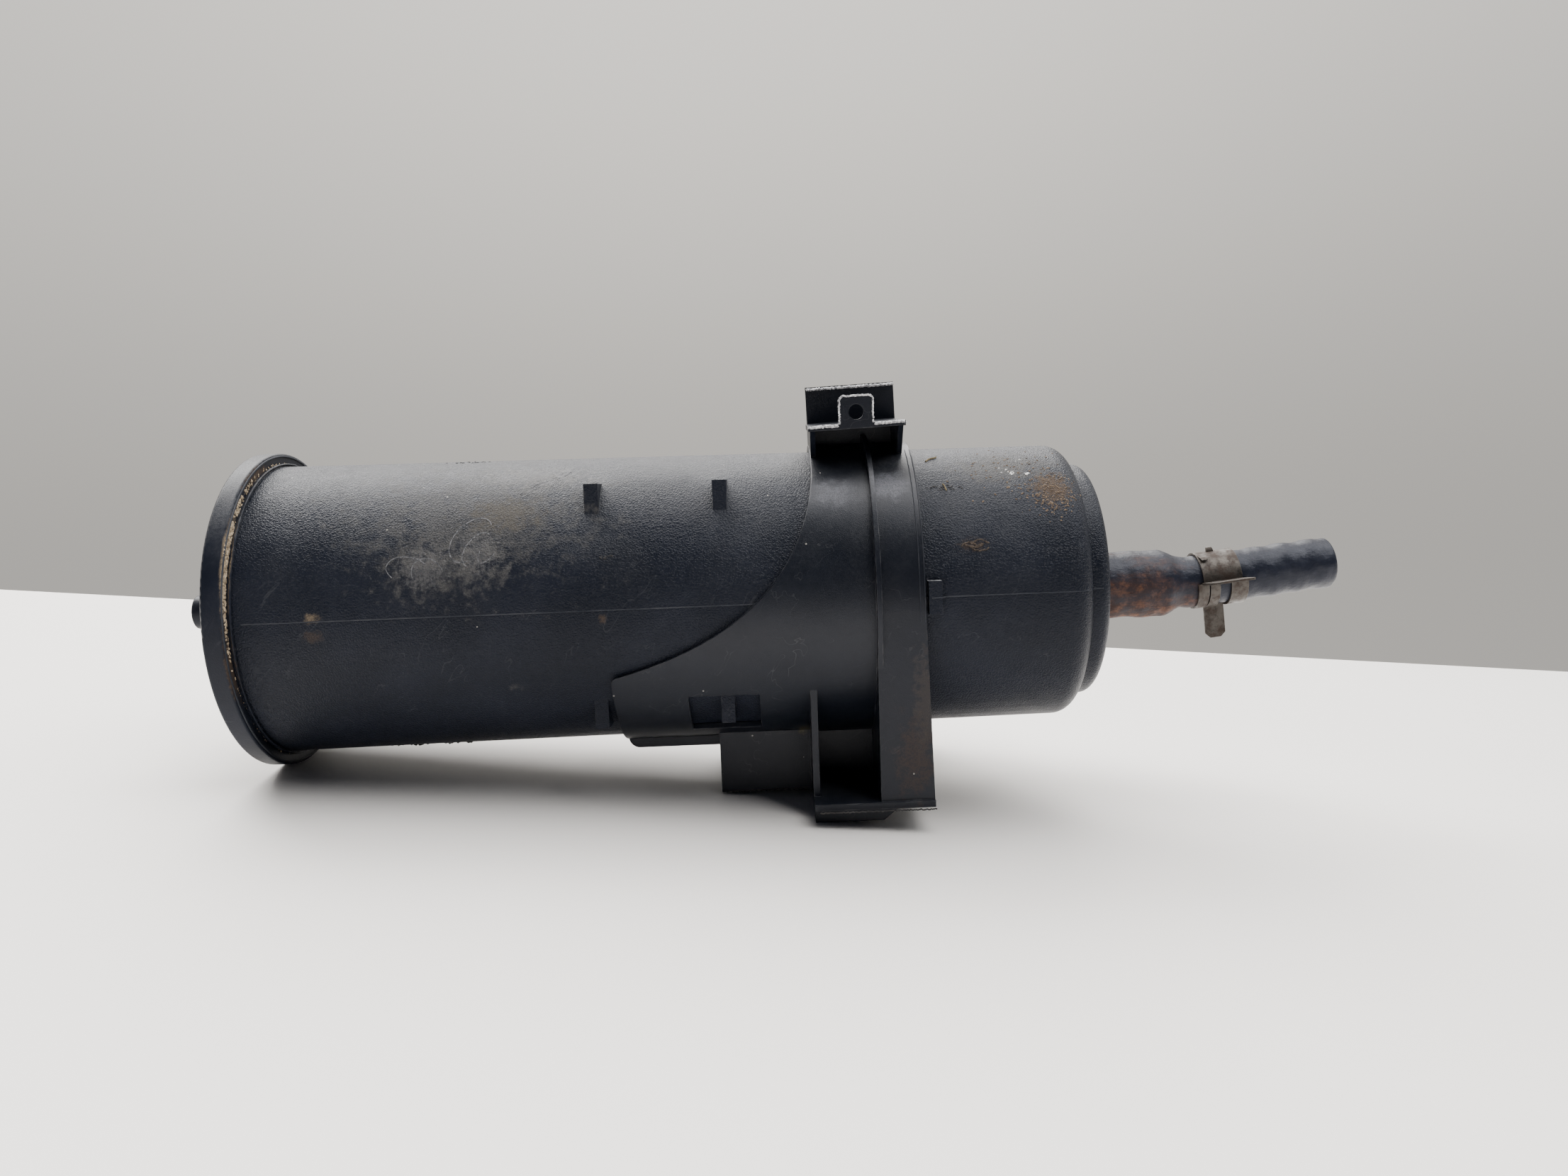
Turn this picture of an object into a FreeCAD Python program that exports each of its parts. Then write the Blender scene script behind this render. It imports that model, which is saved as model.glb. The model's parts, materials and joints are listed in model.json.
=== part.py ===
import FreeCAD, Part
import math
import os

# Fuel-vapour charcoal canister: a welded drum of activated carbon held in a moulded saddle bracket, with a vent
# nipple in its end cover and a rubber hose clamped to the nipple at its other end.
# Frame: X runs along the drum from the cover to the hose, Z is up, and the origin is the centre of the cover's
# outer face. All sizes are in millimetres and all angles in degrees.

V = FreeCAD.Vector
ALONG = V(1, 0, 0)
ACROSS = V(0, 1, 0)
UP = V(0, 0, 1)
ORIGIN = V(0, 0, 0)

# Driving sizes: the drum
DRUM_END = 293.0            # face of the shoulder
DRUM_R_COVER_END = 52.6     # outer radius beside the cover
DRUM_DRAFT = 2.9            # how much smaller the radius is where the shoulder begins
DRUM_R_HOSE_END = DRUM_R_COVER_END - DRUM_DRAFT
WALL = 2.5
SHOULDER_R = 8.0            # rounding of the shoulder
DOME_R = DRUM_R_HOSE_END - 7.2
DOME_H = 7.0                # how far the dome stands out of the shoulder
DOME_ROUND = 4.0
LAND_PROUD = 0.8            # the weld land stands this far out of the drum
LAND_LEN = 1.2
CLOCKING = 4.5              # the drum is turned this far in its bracket

# Driving sizes: the end cover and its vent nipple
COVER_FLANGE = 4.9          # the flange stands this far out of the drum
COVER_R = DRUM_R_COVER_END + COVER_FLANGE
COVER_T = 6.8
COVER_PLATE_T = 3.0
COVER_EDGE_ROUND = 0.8
SPIGOT_LEN = 8.0
SPIGOT_T = 2.4
SPIGOT_GAP = 0.15
VENT_LEN = 29.0
VENT_R = 6.25
VENT_BORE_R = 4.2
VENT_FILTER_R = 17.0
VENT_FILTER_T = 3.0
FILTER_WALL_T = 1.6

# Driving sizes: the drum's lugs, two pairs on each side, and the two snap lugs
LUG_W = 4.7
LUG_FACE_ANGLE = 38.0       # where a lug's front face leaves the drum, above or below the parting line
LUG_H = 10.0
LUG_DEPTH = 12.0
LUG_PLACES = (123.2, 166.3)
SNAP_W = 4.5
SNAP_H = 11.0
SNAP_PROUD = 2.6

# Driving sizes: the inlet port on the dome
PORT_DROP = 3.1             # the port's axis lies this far below the drum's axis
PORT_R = 9.5
PORT_TIP_R = 6.5
PORT_BORE_R = 4.6
PORT_STRAIGHT = 29.0
PORT_TAPER = 8.0

# Driving sizes: the hose
HOSE_BORE_R = 6.35
HOSE_WALL = 3.2
HOSE_LEN = 90.5
HOSE_GAP = 2.0              # space between the dome and the end of the hose
HOSE_SLOPE = 6.0            # the free end rises by this angle
HOSE_BEND_R = 30.0
HOSE_BEND_AT = 35.6         # from the hose's end to the start of its bend
HOSE_FIT_GAP = 0.05

# Driving sizes: the spring clamp
CLAMP_W = 18.3              # the wide end, which the window is cut in
CLAMP_TOP_W = 14.0          # the rest of the band
CLAMP_T = 0.8
CLAMP_FIT_GAP = 0.05
CLAMP_AT = 9.25             # from the end of the hose's bend to the middle of the band
WIDE_LOW_ANGLE = -150.0     # the wide end runs from here to its ear, round the bottom
EAR_ANGLE = 1.5             # the wide ear, from the front, positive upwards
EAR_TILT = 8.0              # the wide ear leans this much further up than straight out
EAR_LEN = 10.5
EAR_W = 15.6
TONGUE_EAR_ANGLE = -90.0
TONGUE_X0 = -4.8            # from the middle of the band
TONGUE_W = 3.6
TONGUE_EAR_MID = -0.9
TONGUE_EAR_W = 7.4
TONGUE_EAR_LEN = 12.2
WINDOW_GAP_LEFT = 0.5
WINDOW_GAP_RIGHT = 4.1
EAR_CHAMFER = 1.7

# Driving sizes: the saddle bracket
SADDLE_T = 2.3
SADDLE_GAP = 0.15
COLLAR_X0 = 198.0
COLLAR_X1 = 235.5
CRADLE_X0 = 130.0
CRADLE_CORNER_Z = -19.5
CRADLE_CORNER_R = 3.0
KEEL_HALF_W = 14.0
KEEL_DROP = 1.6
KEEL_CORNER_R = 4.0
RIB_T = 1.7
RIB_PROUD = 3.2
RIB_LOW_ANGLE = -37.0
LEG_X0 = 219.2
LEG_FLARE = 2.0             # the leg is this much wider at its foot than at the collar
FOOT_DROP = 13.943          # the sole lies this far below the saddle
FOOT_T = 2.2
FOOT_LIP = 1.2
PAD_T = 6.3
PAD_X0 = 197.0
PAD_X1 = 228.0
PAD_HALF_W = 48.0
PAD_SLANT = 7.5
FIN_X0 = 196.7
FIN_T = 2.3
FIN_HALF_W = 45.5
BOX_X0 = 164.0
BOX_LOW = 2.6               # the box reaches this far below the sole
BOX_HALF_W = 24.0
BOX_WALL = 2.3
MID_HALF_W = 20.0
WINDOW_X0 = 155.3
WINDOW_X1 = 179.5
WINDOW_TOP = -36.5
WINDOW_LOW = -60.0

# Driving sizes: the clip pocket on top of the bracket
POCKET_TILT = 1.8
POCKET_MID_X = 216.0
POCKET_W = 32.0
POCKET_H = 13.2             # the back plate's height above the ledge
PLATE_T = 2.0
LEDGE_RISE = 8.143          # the ledge's top lies this far above the saddle
LEDGE_T = 1.8
LEDGE_DEPTH = 30.0
LEDGE_SIDE = 0.6
TAB_W = 12.0
TAB_H = 9.6
TAB_T = 2.0
TAB_CORNER_R = 2.0
TAB_HOLE_R = 2.55
TAB_HOLE_UP = 3.8
GUSSET_T = 1.8
GUSSET_FOOT_Y = 17.0
BUTTRESS_DEPTH = 14.0

# Driving sizes: the filling, from the cover towards the hose
SPRING_ROOM = 21.0          # between the cover's plate and the spring plate
SPRING_GAP = 0.2
SPRING_INSET = 18.7         # from the drum's small end to the circle that the springs stand on
SPRING_COUNT = 3
SPRING_R = 7.5
SPRING_WIRE_R = 0.8
SPRING_TURNS = 4
SPRING_STEPS = 12           # points on each turn of the spring's line
SPRING_CUP_T = 1.4
SPRING_CUP_H = 4.0
CUP_GAP = 0.6
PLATE_RIM_GAP = 0.5
SPRING_PLATE_T = 3.0
FOAM_T = 6.0
FLEECE_T = 2.0
GRILLE_T = 2.6
GRILLE_STANDOFF = 6.0
FILL_GAP = 0.1
HOLE_R = 2.4
HOLE_RIM = 8.2              # from the drum's small end to the outer ring of holes
HOLE_RINGS = ((10.0, 6), (20.0, 12), (DRUM_R_HOSE_END - HOLE_RIM, 24))
STANDOFF_T = 2.0
STANDOFF_COUNT = 6

# Places worked out from the driving sizes
DOME_FACE = DRUM_END + DOME_H
DRUM_TAPER_END = DRUM_END - SHOULDER_R
HOSE_R = HOSE_BORE_R + HOSE_WALL
HOSE_START = DOME_FACE + HOSE_GAP
SPRING_PCR = DRUM_R_HOSE_END - SPRING_INSET
SPRING_PLATE_X = COVER_PLATE_T + SPRING_ROOM
COVER_FOAM_X = SPRING_PLATE_X + SPRING_PLATE_T
COVER_FLEECE_X = COVER_FOAM_X + FOAM_T
CARBON_X = COVER_FLEECE_X + FLEECE_T
GRILLE_X = DRUM_END - WALL - GRILLE_STANDOFF - GRILLE_T
PORT_FOAM_X = GRILLE_X - FOAM_T
PORT_FLEECE_X = PORT_FOAM_X - FLEECE_T
SNAP_X = COLLAR_X1 + 1.0


def drum_r(x):
    """Outer radius of the drum at x along its axis."""
    slope = (DRUM_R_HOSE_END - DRUM_R_COVER_END) / (DRUM_TAPER_END - COVER_T)
    return DRUM_R_COVER_END + slope * (x - COVER_T)


def bore_r(x):
    """Inner radius of the drum at x along its axis."""
    return drum_r(x) - WALL


SADDLE_R = drum_r(COLLAR_X0) + SADDLE_GAP + SADDLE_T
FOOT_Z = -SADDLE_R - FOOT_DROP
LEDGE_Z = SADDLE_R + LEDGE_RISE
POCKET_TOP = LEDGE_Z + POCKET_H


def box(x0, x1, y0, y1, z0, z1):
    return Part.makeBox(x1 - x0, y1 - y0, z1 - z0, V(x0, y0, z0))


def cylinder(x0, x1, r, z=0.0):
    return Part.makeCylinder(r, x1 - x0, V(x0, 0, z), ALONG)


def tube(x0, x1, r_out, r_in, z=0.0):
    return cylinder(x0, x1, r_out, z).cut(cylinder(x0, x1, r_in, z))


def cone(x0, x1, r0, r1):
    return Part.makeCone(r0, r1, x1 - x0, V(x0, 0, 0), ALONG)


def turned(points):
    """A solid turned about the X axis from (x, radius) points."""
    wire = Part.makePolygon([V(x, 0, r) for x, r in points + points[:1]])
    return Part.Face(wire).revolve(ORIGIN, ALONG, 360)


def slab(points, y0, y1):
    """A solid with an (x, z) outline, from y0 to y1."""
    wire = Part.makePolygon([V(x, y0, z) for x, z in points + points[:1]])
    return Part.Face(wire).extrude(V(0, y1 - y0, 0))


def plate_across(points, x0, x1):
    """A solid with a (y, z) outline, from x0 to x1."""
    wire = Part.makePolygon([V(x0, y, z) for y, z in points + points[:1]])
    return Part.Face(wire).extrude(V(x1 - x0, 0, 0))


def sector(x0, x1, r_out, r_in, low, high):
    """Part of a ring about X, between two angles above the front (-Y) side."""
    ring = Part.makeCylinder(r_out, x1 - x0, ORIGIN, UP, high - low)
    ring = ring.cut(Part.makeCylinder(r_in, x1 - x0))
    ring.rotate(ORIGIN, ACROSS, 90)
    ring.rotate(ORIGIN, ALONG, 270.0 - high)
    ring.translate(V(x0, 0, 0))
    return ring


def fused(pieces):
    shape = pieces[0]
    for piece in pieces[1:]:
        shape = shape.fuse(piece)
    return shape.removeSplitter()


def mirrored(shape):
    return shape.mirror(ORIGIN, ACROSS)


def clocked(shape):
    """The shape turned with the drum, so that its near side rises."""
    return shape.rotated(ORIGIN, ALONG, -CLOCKING)


def rounded_edges(shape, radius, wanted):
    edges = [e for e in shape.Edges if wanted(e)]
    return shape.makeFillet(radius, edges)


def is_circle(edge, radius, x):
    """Whether an edge is a circle about X of this radius at this x."""
    return (
        isinstance(edge.Curve, Part.Circle)
        and abs(edge.Curve.Radius - radius) < 0.01
        and abs(edge.Curve.Center.x - x) < 0.01
    )


def perforated(disc, x0, x1, rings):
    """A disc with rings of round holes through it, and one hole in its middle."""
    cutters = [cylinder(x0, x1, HOLE_R)]
    for ring_r, count in rings:
        for k in range(count):
            turn = 2 * math.pi * k / count
            centre = V(x0, ring_r * math.cos(turn), ring_r * math.sin(turn))
            cutters.append(Part.makeCylinder(HOLE_R, x1 - x0, centre, ALONG))
    return disc.cut(Part.makeCompound(cutters))


def filling(x0, thickness, gap=FILL_GAP):
    """A disc of filling that follows the drum's bore."""
    x1 = x0 + thickness
    return cone(x0, x1, bore_r(x0) - gap, bore_r(x1) - gap)


def drum_outside():
    """The drum's shell before its hollow is cut: barrel, shoulder and dome."""
    barrel = turned([(COVER_T, 0), (COVER_T, DRUM_R_COVER_END), (DRUM_END, drum_r(DRUM_END)), (DRUM_END, 0)])
    barrel = rounded_edges(barrel, SHOULDER_R - 0.5, lambda e: is_circle(e, drum_r(DRUM_END), DRUM_END))
    dome = cylinder(DRUM_END - WALL, DOME_FACE, DOME_R)
    dome = rounded_edges(dome, DOME_ROUND, lambda e: is_circle(e, DOME_R, DOME_FACE))
    land = cylinder(COVER_T, COVER_T + LAND_LEN, DRUM_R_COVER_END + LAND_PROUD)
    return fused([barrel, dome, land])


def drum_inside():
    """The hollow of the drum, up to the dome."""
    inner_end = DRUM_END - WALL
    barrel = turned([(COVER_T, 0), (COVER_T, bore_r(COVER_T)), (inner_end, bore_r(inner_end)), (inner_end, 0)])
    corner = SHOULDER_R - WALL
    barrel = rounded_edges(barrel, corner, lambda e: is_circle(e, bore_r(inner_end), inner_end))
    return barrel.fuse(cylinder(inner_end - 1.0, DOME_FACE - WALL, DOME_R - WALL))


def port():
    """The tapered nipple that the hose is pushed over."""
    tip = DOME_FACE + PORT_STRAIGHT
    straight = cylinder(DOME_FACE - WALL, tip, PORT_R, -PORT_DROP)
    taper = Part.makeCone(PORT_R, PORT_TIP_R, PORT_TAPER, V(tip, 0, -PORT_DROP), ALONG)
    return straight.fuse(taper)


def lug(x0, side, level):
    """One locating lug: a block with an upright front face, above or below the parting line."""
    r = drum_r(x0)
    face_y = r * math.cos(math.radians(LUG_FACE_ANGLE))
    base_z = r * math.sin(math.radians(LUG_FACE_ANGLE))
    block = box(x0, x0 + LUG_W, -face_y, LUG_DEPTH - face_y, base_z - WALL, base_z + LUG_H)
    block = block.cut(cylinder(x0 - 1, x0 + LUG_W + 1, bore_r(x0) + WALL / 2))
    if level < 0:
        block = block.mirror(ORIGIN, UP)
    if side > 0:
        block = mirrored(block)
    return block


def snap_lug(side):
    """A lug that the bracket's collar snaps behind, on the parting line."""
    r = drum_r(SNAP_X)
    block = box(SNAP_X, SNAP_X + SNAP_W, -r - SNAP_PROUD, WALL / 2 - r, -SNAP_H / 2, SNAP_H / 2)
    return mirrored(block) if side > 0 else block


def standoffs():
    """Radial walls inside the shoulder that hold the grille off the port."""
    x0 = GRILLE_X + GRILLE_T
    walls = []
    for k in range(STANDOFF_COUNT):
        wall = box(x0, DRUM_END - WALL / 2, PORT_R + PORT_DROP + 2, bore_r(x0) - 6, -STANDOFF_T / 2, STANDOFF_T / 2)
        wall.rotate(ORIGIN, ALONG, 360.0 * k / STANDOFF_COUNT)
        walls.append(wall)
    return walls


def canister_body():
    """The drum: one moulding with its lugs, shoulder, dome and port."""
    shell = drum_outside().cut(drum_inside())
    lugs = [lug(x0, side, level) for x0 in LUG_PLACES for side in (-1, 1) for level in (-1, 1)]
    snaps = [snap_lug(-1), snap_lug(1)]
    body = fused([shell, port()] + standoffs() + [clocked(piece) for piece in lugs + snaps])
    bore = cylinder(DOME_FACE - 2 * WALL, DOME_FACE + PORT_STRAIGHT + PORT_TAPER, PORT_BORE_R, -PORT_DROP)
    return body.cut(bore)


def spring_places():
    """Centres of the springs, as (y, z)."""
    turns = [math.radians(90 + 360.0 * k / SPRING_COUNT) for k in range(SPRING_COUNT)]
    return [(SPRING_PCR * math.cos(t), SPRING_PCR * math.sin(t)) for t in turns]


def end_cover():
    """The welded end cover with its vent nipple, spigot, filter well and spring cups."""
    disc = cylinder(0, COVER_T, COVER_R)
    disc = rounded_edges(disc, COVER_EDGE_ROUND, lambda e: is_circle(e, COVER_R, 0) or is_circle(e, COVER_R, COVER_T))
    spigot_r = bore_r(COVER_T + SPIGOT_LEN) - SPIGOT_GAP
    recess = cylinder(COVER_PLATE_T, COVER_T + SPIGOT_LEN, spigot_r - SPIGOT_T)
    disc = disc.fuse(cylinder(COVER_T, COVER_T + SPIGOT_LEN, spigot_r)).cut(recess)
    well_r = VENT_FILTER_R + FILL_GAP
    well = tube(COVER_PLATE_T, COVER_PLATE_T + VENT_FILTER_T, well_r + FILTER_WALL_T, well_r)
    nipple = cylinder(-VENT_LEN, COVER_PLATE_T, VENT_R)
    cups = []
    cup_r = SPRING_R + SPRING_WIRE_R + CUP_GAP
    for y, z in spring_places():
        cup = tube(COVER_PLATE_T, COVER_PLATE_T + SPRING_CUP_H, cup_r + SPRING_CUP_T, cup_r)
        cup.translate(V(0, y, z))
        cups.append(cup)
    cover = fused([disc, well, nipple] + cups)
    return cover.cut(cylinder(-VENT_LEN, COVER_PLATE_T, VENT_BORE_R))


def spring(place):
    """One compression spring between the cover and the spring plate."""
    free = SPRING_ROOM - 2 * SPRING_GAP
    rise = free - 2 * SPRING_WIRE_R
    start = V(COVER_PLATE_T + SPRING_GAP + SPRING_WIRE_R, place[0], place[1])
    steps = SPRING_TURNS * SPRING_STEPS
    points = []
    for k in range(steps + 1):
        turn = 2 * math.pi * k / SPRING_STEPS
        points.append(start + V(rise * k / steps, SPRING_R * math.cos(turn), SPRING_R * math.sin(turn)))
    line = Part.BSplineCurve()
    line.interpolate(points)
    ring = Part.Wire(Part.makeCircle(SPRING_WIRE_R, points[0], points[1] - points[0]))
    return Part.Wire(line.toShape()).makePipeShell([ring], True, False)


def spring_plate():
    """The perforated plate that the springs press against the filling."""
    x1 = SPRING_PLATE_X + SPRING_PLATE_T
    radius = bore_r(x1) - PLATE_RIM_GAP
    disc = cylinder(SPRING_PLATE_X, x1, radius)
    return perforated(disc, SPRING_PLATE_X, x1, HOLE_RINGS)


def port_grille():
    """The perforated support disc at the port end."""
    disc = filling(GRILLE_X, GRILLE_T)
    return perforated(disc, GRILLE_X, GRILLE_X + GRILLE_T, HOLE_RINGS)


def cradle_outline():
    """Side outline (x, z) of everything below the collar's sweeping front edge, as a face in the XZ plane."""
    top = V(COLLAR_X0 + 2, 0, SADDLE_R + 1)
    sweep_top = V(COLLAR_X0 + 2, 0, SADDLE_R - 8.8)
    sweep_low = V(CRADLE_X0 + 2.5, 0, CRADLE_CORNER_Z)
    sweep = Part.BezierCurve()
    sweep.setPoles([sweep_top, V(COLLAR_X0 - 2, 0, 12.0), V(COLLAR_X0 - 26, 0, -8.5), sweep_low])
    corner = V(CRADLE_X0, 0, CRADLE_CORNER_Z - CRADLE_CORNER_R)
    middle = V(CRADLE_X0 + 0.6, 0, CRADLE_CORNER_Z - 1.0)
    depth = V(CRADLE_X0, 0, -SADDLE_R - 1)
    depth_back = V(COLLAR_X1, 0, -SADDLE_R - 1)
    top_back = V(COLLAR_X1, 0, SADDLE_R + 1)
    edges = [
        Part.LineSegment(top, sweep_top).toShape(),
        sweep.toShape(),
        Part.Arc(sweep_low, middle, corner).toShape(),
        Part.LineSegment(corner, depth).toShape(),
        Part.LineSegment(depth, depth_back).toShape(),
        Part.LineSegment(depth_back, top_back).toShape(),
        Part.LineSegment(top_back, top).toShape(),
    ]
    return Part.Face(Part.Wire(edges))


def saddle_shell():
    """The bracket's curved wall: a full collar that sweeps down into a cradle under the drum."""
    outline = cradle_outline()
    outline.translate(V(0, -SADDLE_R - 1, 0))
    block = outline.extrude(V(0, 2 * SADDLE_R + 2, 0))
    return block.common(cylinder(CRADLE_X0, COLLAR_X1, SADDLE_R))


def keel():
    """The thick strip under the cradle, rounded at its front corner."""
    depth = -SADDLE_R - KEEL_DROP
    block = box(CRADLE_X0, BOX_X0 + BOX_WALL, -KEEL_HALF_W, KEEL_HALF_W, depth, -SADDLE_R + 3)
    return rounded_edges(
        block,
        KEEL_CORNER_R,
        lambda e: abs(e.CenterOfMass.x - CRADLE_X0) < 0.01 and abs(e.CenterOfMass.z - depth) < 0.01,
    )


def leg():
    """The upright band that runs straight down from the collar on the near side, with its web."""
    low_x1 = COLLAR_X1 + LEG_FLARE
    outline = [(LEG_X0, 0), (COLLAR_X1, 0), (low_x1, FOOT_Z), (LEG_X0, FOOT_Z)]
    band = slab(outline, -SADDLE_R, SADDLE_T - SADDLE_R)
    web = box(LEG_X0, LEG_X0 + SADDLE_T, -SADDLE_R, -MID_HALF_W, FOOT_Z, 0)
    return band.fuse(web)


def collar_rib():
    """The thin rib round the collar, from the pocket down both sides."""
    x0 = LEG_X0
    return sector(x0, x0 + RIB_T, SADDLE_R + RIB_PROUD, SADDLE_R - 1, RIB_LOW_ANGLE, 180.0 - RIB_LOW_ANGLE)


def foot():
    """The hollow foot under the drum: two boxes, a fin, a sole plate and its pad."""
    top = -SADDLE_R * math.cos(math.asin(BOX_HALF_W / SADDLE_R)) + 1
    inner = BOX_HALF_W - BOX_WALL
    low = FOOT_Z - BOX_LOW
    pieces = [
        box(BOX_X0, BOX_X0 + BOX_WALL, -BOX_HALF_W, BOX_HALF_W, low, top),
        box(BOX_X0, FIN_X0, -BOX_HALF_W, -inner, low, top),
        box(BOX_X0, FIN_X0, inner, BOX_HALF_W, low, top),
        box(FIN_X0, FIN_X0 + FIN_T, -FIN_HALF_W, FIN_HALF_W, FOOT_Z, -SADDLE_R / 2),
        box(FIN_X0, LEG_X0 + SADDLE_T, -MID_HALF_W, BOX_WALL - MID_HALF_W, FOOT_Z, top),
        box(FIN_X0, LEG_X0 + SADDLE_T, MID_HALF_W - BOX_WALL, MID_HALF_W, FOOT_Z, top),
        box(LEG_X0, LEG_X0 + SADDLE_T, -MID_HALF_W, MID_HALF_W, FOOT_Z, top),
        box(FIN_X0, COLLAR_X1 + LEG_FLARE, -SADDLE_R - FOOT_LIP, SADDLE_R + FOOT_LIP, FOOT_Z, FOOT_Z + FOOT_T),
    ]
    pad = slab(
        [(PAD_X0, FOOT_Z), (PAD_X1, FOOT_Z), (PAD_X1 - PAD_SLANT, FOOT_Z - PAD_T), (PAD_X0, FOOT_Z - PAD_T)],
        -PAD_HALF_W,
        PAD_HALF_W,
    )
    return pieces + [pad]


def clip_pocket():
    """The pocket on top of the collar: back plate, ledge, bored tab and gussets."""
    x0 = POCKET_MID_X - POCKET_W / 2
    x1 = POCKET_MID_X + POCKET_W / 2
    sunk = SADDLE_R - SADDLE_T / 2
    plate = box(x0, x1, 0, PLATE_T, sunk, POCKET_TOP)
    ledge = box(x0 - LEDGE_SIDE, x1 + LEDGE_SIDE, -LEDGE_DEPTH, PLATE_T, LEDGE_Z - LEDGE_T, LEDGE_Z)
    tab_x0 = POCKET_MID_X - TAB_W / 2
    tab_x1 = POCKET_MID_X + TAB_W / 2
    tab = box(tab_x0, tab_x1, -LEDGE_DEPTH, TAB_T - LEDGE_DEPTH, LEDGE_Z - LEDGE_T, LEDGE_Z + TAB_H)
    tab = rounded_edges(
        tab,
        TAB_CORNER_R,
        lambda e: e.BoundBox.YLength > TAB_T / 2 and abs(e.CenterOfMass.z - LEDGE_Z - TAB_H) < 0.01,
    )
    hole = Part.makeCylinder(
        TAB_HOLE_R, TAB_T + 2, V(POCKET_MID_X, -LEDGE_DEPTH - 1, LEDGE_Z + TAB_HOLE_UP), ACROSS
    )
    foot_z = math.sqrt(SADDLE_R**2 - GUSSET_FOOT_Y**2) - SADDLE_T / 2
    gusset_outline = [
        (-LEDGE_DEPTH + TAB_T, LEDGE_Z - LEDGE_T),
        (-GUSSET_FOOT_Y, foot_z),
        (0, foot_z),
        (0, LEDGE_Z - LEDGE_T),
    ]
    buttress_z = math.sqrt(SADDLE_R**2 - BUTTRESS_DEPTH**2) - SADDLE_T / 2
    buttress_outline = [(PLATE_T, POCKET_TOP - 4), (BUTTRESS_DEPTH, buttress_z), (PLATE_T, buttress_z)]
    gussets = []
    for start in (x0, x1 - GUSSET_T):
        gussets.append(plate_across(gusset_outline, start, start + GUSSET_T))
        gussets.append(plate_across(buttress_outline, start, start + GUSSET_T))
    pocket = fused([plate, ledge, tab] + gussets).cut(hole)
    return pocket.rotated(V(POCKET_MID_X, 0, LEDGE_Z), ACROSS, -POCKET_TILT)


def lug_windows():
    """Cutters for the cradle's windows, one on each side, that the drum's lower lugs sit in."""
    near = sector(WINDOW_X0, WINDOW_X1, SADDLE_R + 1, SADDLE_R / 2, WINDOW_LOW, WINDOW_TOP)
    return [clocked(near), clocked(mirrored(near))]


def mounting_bracket():
    """The moulded saddle bracket."""
    near_leg = leg()
    solid = fused([saddle_shell(), keel(), collar_rib(), near_leg, mirrored(near_leg), clip_pocket()] + foot())
    drum_room = cone(
        COVER_T, DRUM_END, DRUM_R_COVER_END + SADDLE_GAP, drum_r(DRUM_END) + SADDLE_GAP
    )
    solid = solid.cut(drum_room)
    for window in lug_windows():
        solid = solid.cut(window)
    return solid


def hose_heading():
    """Direction of the hose's free end."""
    angle = math.radians(HOSE_SLOPE)
    return V(math.cos(angle), 0, math.sin(angle))


def bend_start():
    return V(HOSE_START + HOSE_BEND_AT, 0, -PORT_DROP)


def bend_end():
    angle = math.radians(HOSE_SLOPE)
    lift = V(HOSE_BEND_R * math.sin(angle), 0, HOSE_BEND_R * (1 - math.cos(angle)))
    return bend_start() + lift


def hose_profile(r_start, r_thin, r_end):
    """Outline of the hose's first, straight stretch as (x, radius): thick, then narrowing to the bend."""
    x0 = HOSE_START
    taper = DOME_FACE + PORT_STRAIGHT
    return [(x0, 0), (x0, r_start), (taper, r_end), (taper + PORT_TAPER * 0.9, r_thin), (bend_start().x, r_thin)]


def hose_stretch(radius, past=0.0):
    """The bend and the free stretch of the hose, as a round bar of this radius."""
    heading = hose_heading()
    free = HOSE_LEN - HOSE_BEND_AT - HOSE_BEND_R * math.radians(HOSE_SLOPE)
    centre = bend_start() + V(0, 0, HOSE_BEND_R)
    disc = Part.Face(Part.Wire(Part.makeCircle(radius, bend_start(), ALONG)))
    bend = disc.revolve(centre, V(0, -1, 0), HOSE_SLOPE)
    straight = Part.makeCylinder(radius, free + past, bend_end(), heading)
    return bend.fuse(straight)


def dropped(shape):
    """A turned shape moved down to the port's axis."""
    shape.translate(V(0, 0, -PORT_DROP))
    return shape


def hose_stub():
    """The rubber hose: stretched thick over the port, then bending up to its cut end."""
    on_port = PORT_R + HOSE_FIT_GAP
    tip_r = PORT_TIP_R + HOSE_FIT_GAP
    outside = hose_profile(on_port + HOSE_WALL, HOSE_R, on_port + HOSE_WALL - 0.3)
    outer = dropped(turned(outside + [(bend_start().x, 0)]))
    port_end = DOME_FACE + PORT_STRAIGHT + PORT_TAPER
    bend_x = bend_start().x
    inside = [
        (HOSE_START, 0),
        (HOSE_START, on_port),
        (DOME_FACE + PORT_STRAIGHT, on_port),
        (min(port_end, bend_x - 0.3), tip_r),
        (min(port_end, bend_x - 0.3), HOSE_BORE_R),
        (bend_x, HOSE_BORE_R),
        (bend_x, 0),
    ]
    hollow = dropped(turned(inside))
    solid = outer.fuse(hose_stretch(HOSE_R)).removeSplitter()
    return solid.cut(hollow).cut(hose_stretch(HOSE_BORE_R, 1.0))


def clamp_place(shape):
    """A shape about X moved on to the hose's free stretch, where the clamp sits."""
    shape.rotate(ORIGIN, ACROSS, -HOSE_SLOPE)
    shape.translate(bend_end() + hose_heading() * CLAMP_AT)
    return shape


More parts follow.
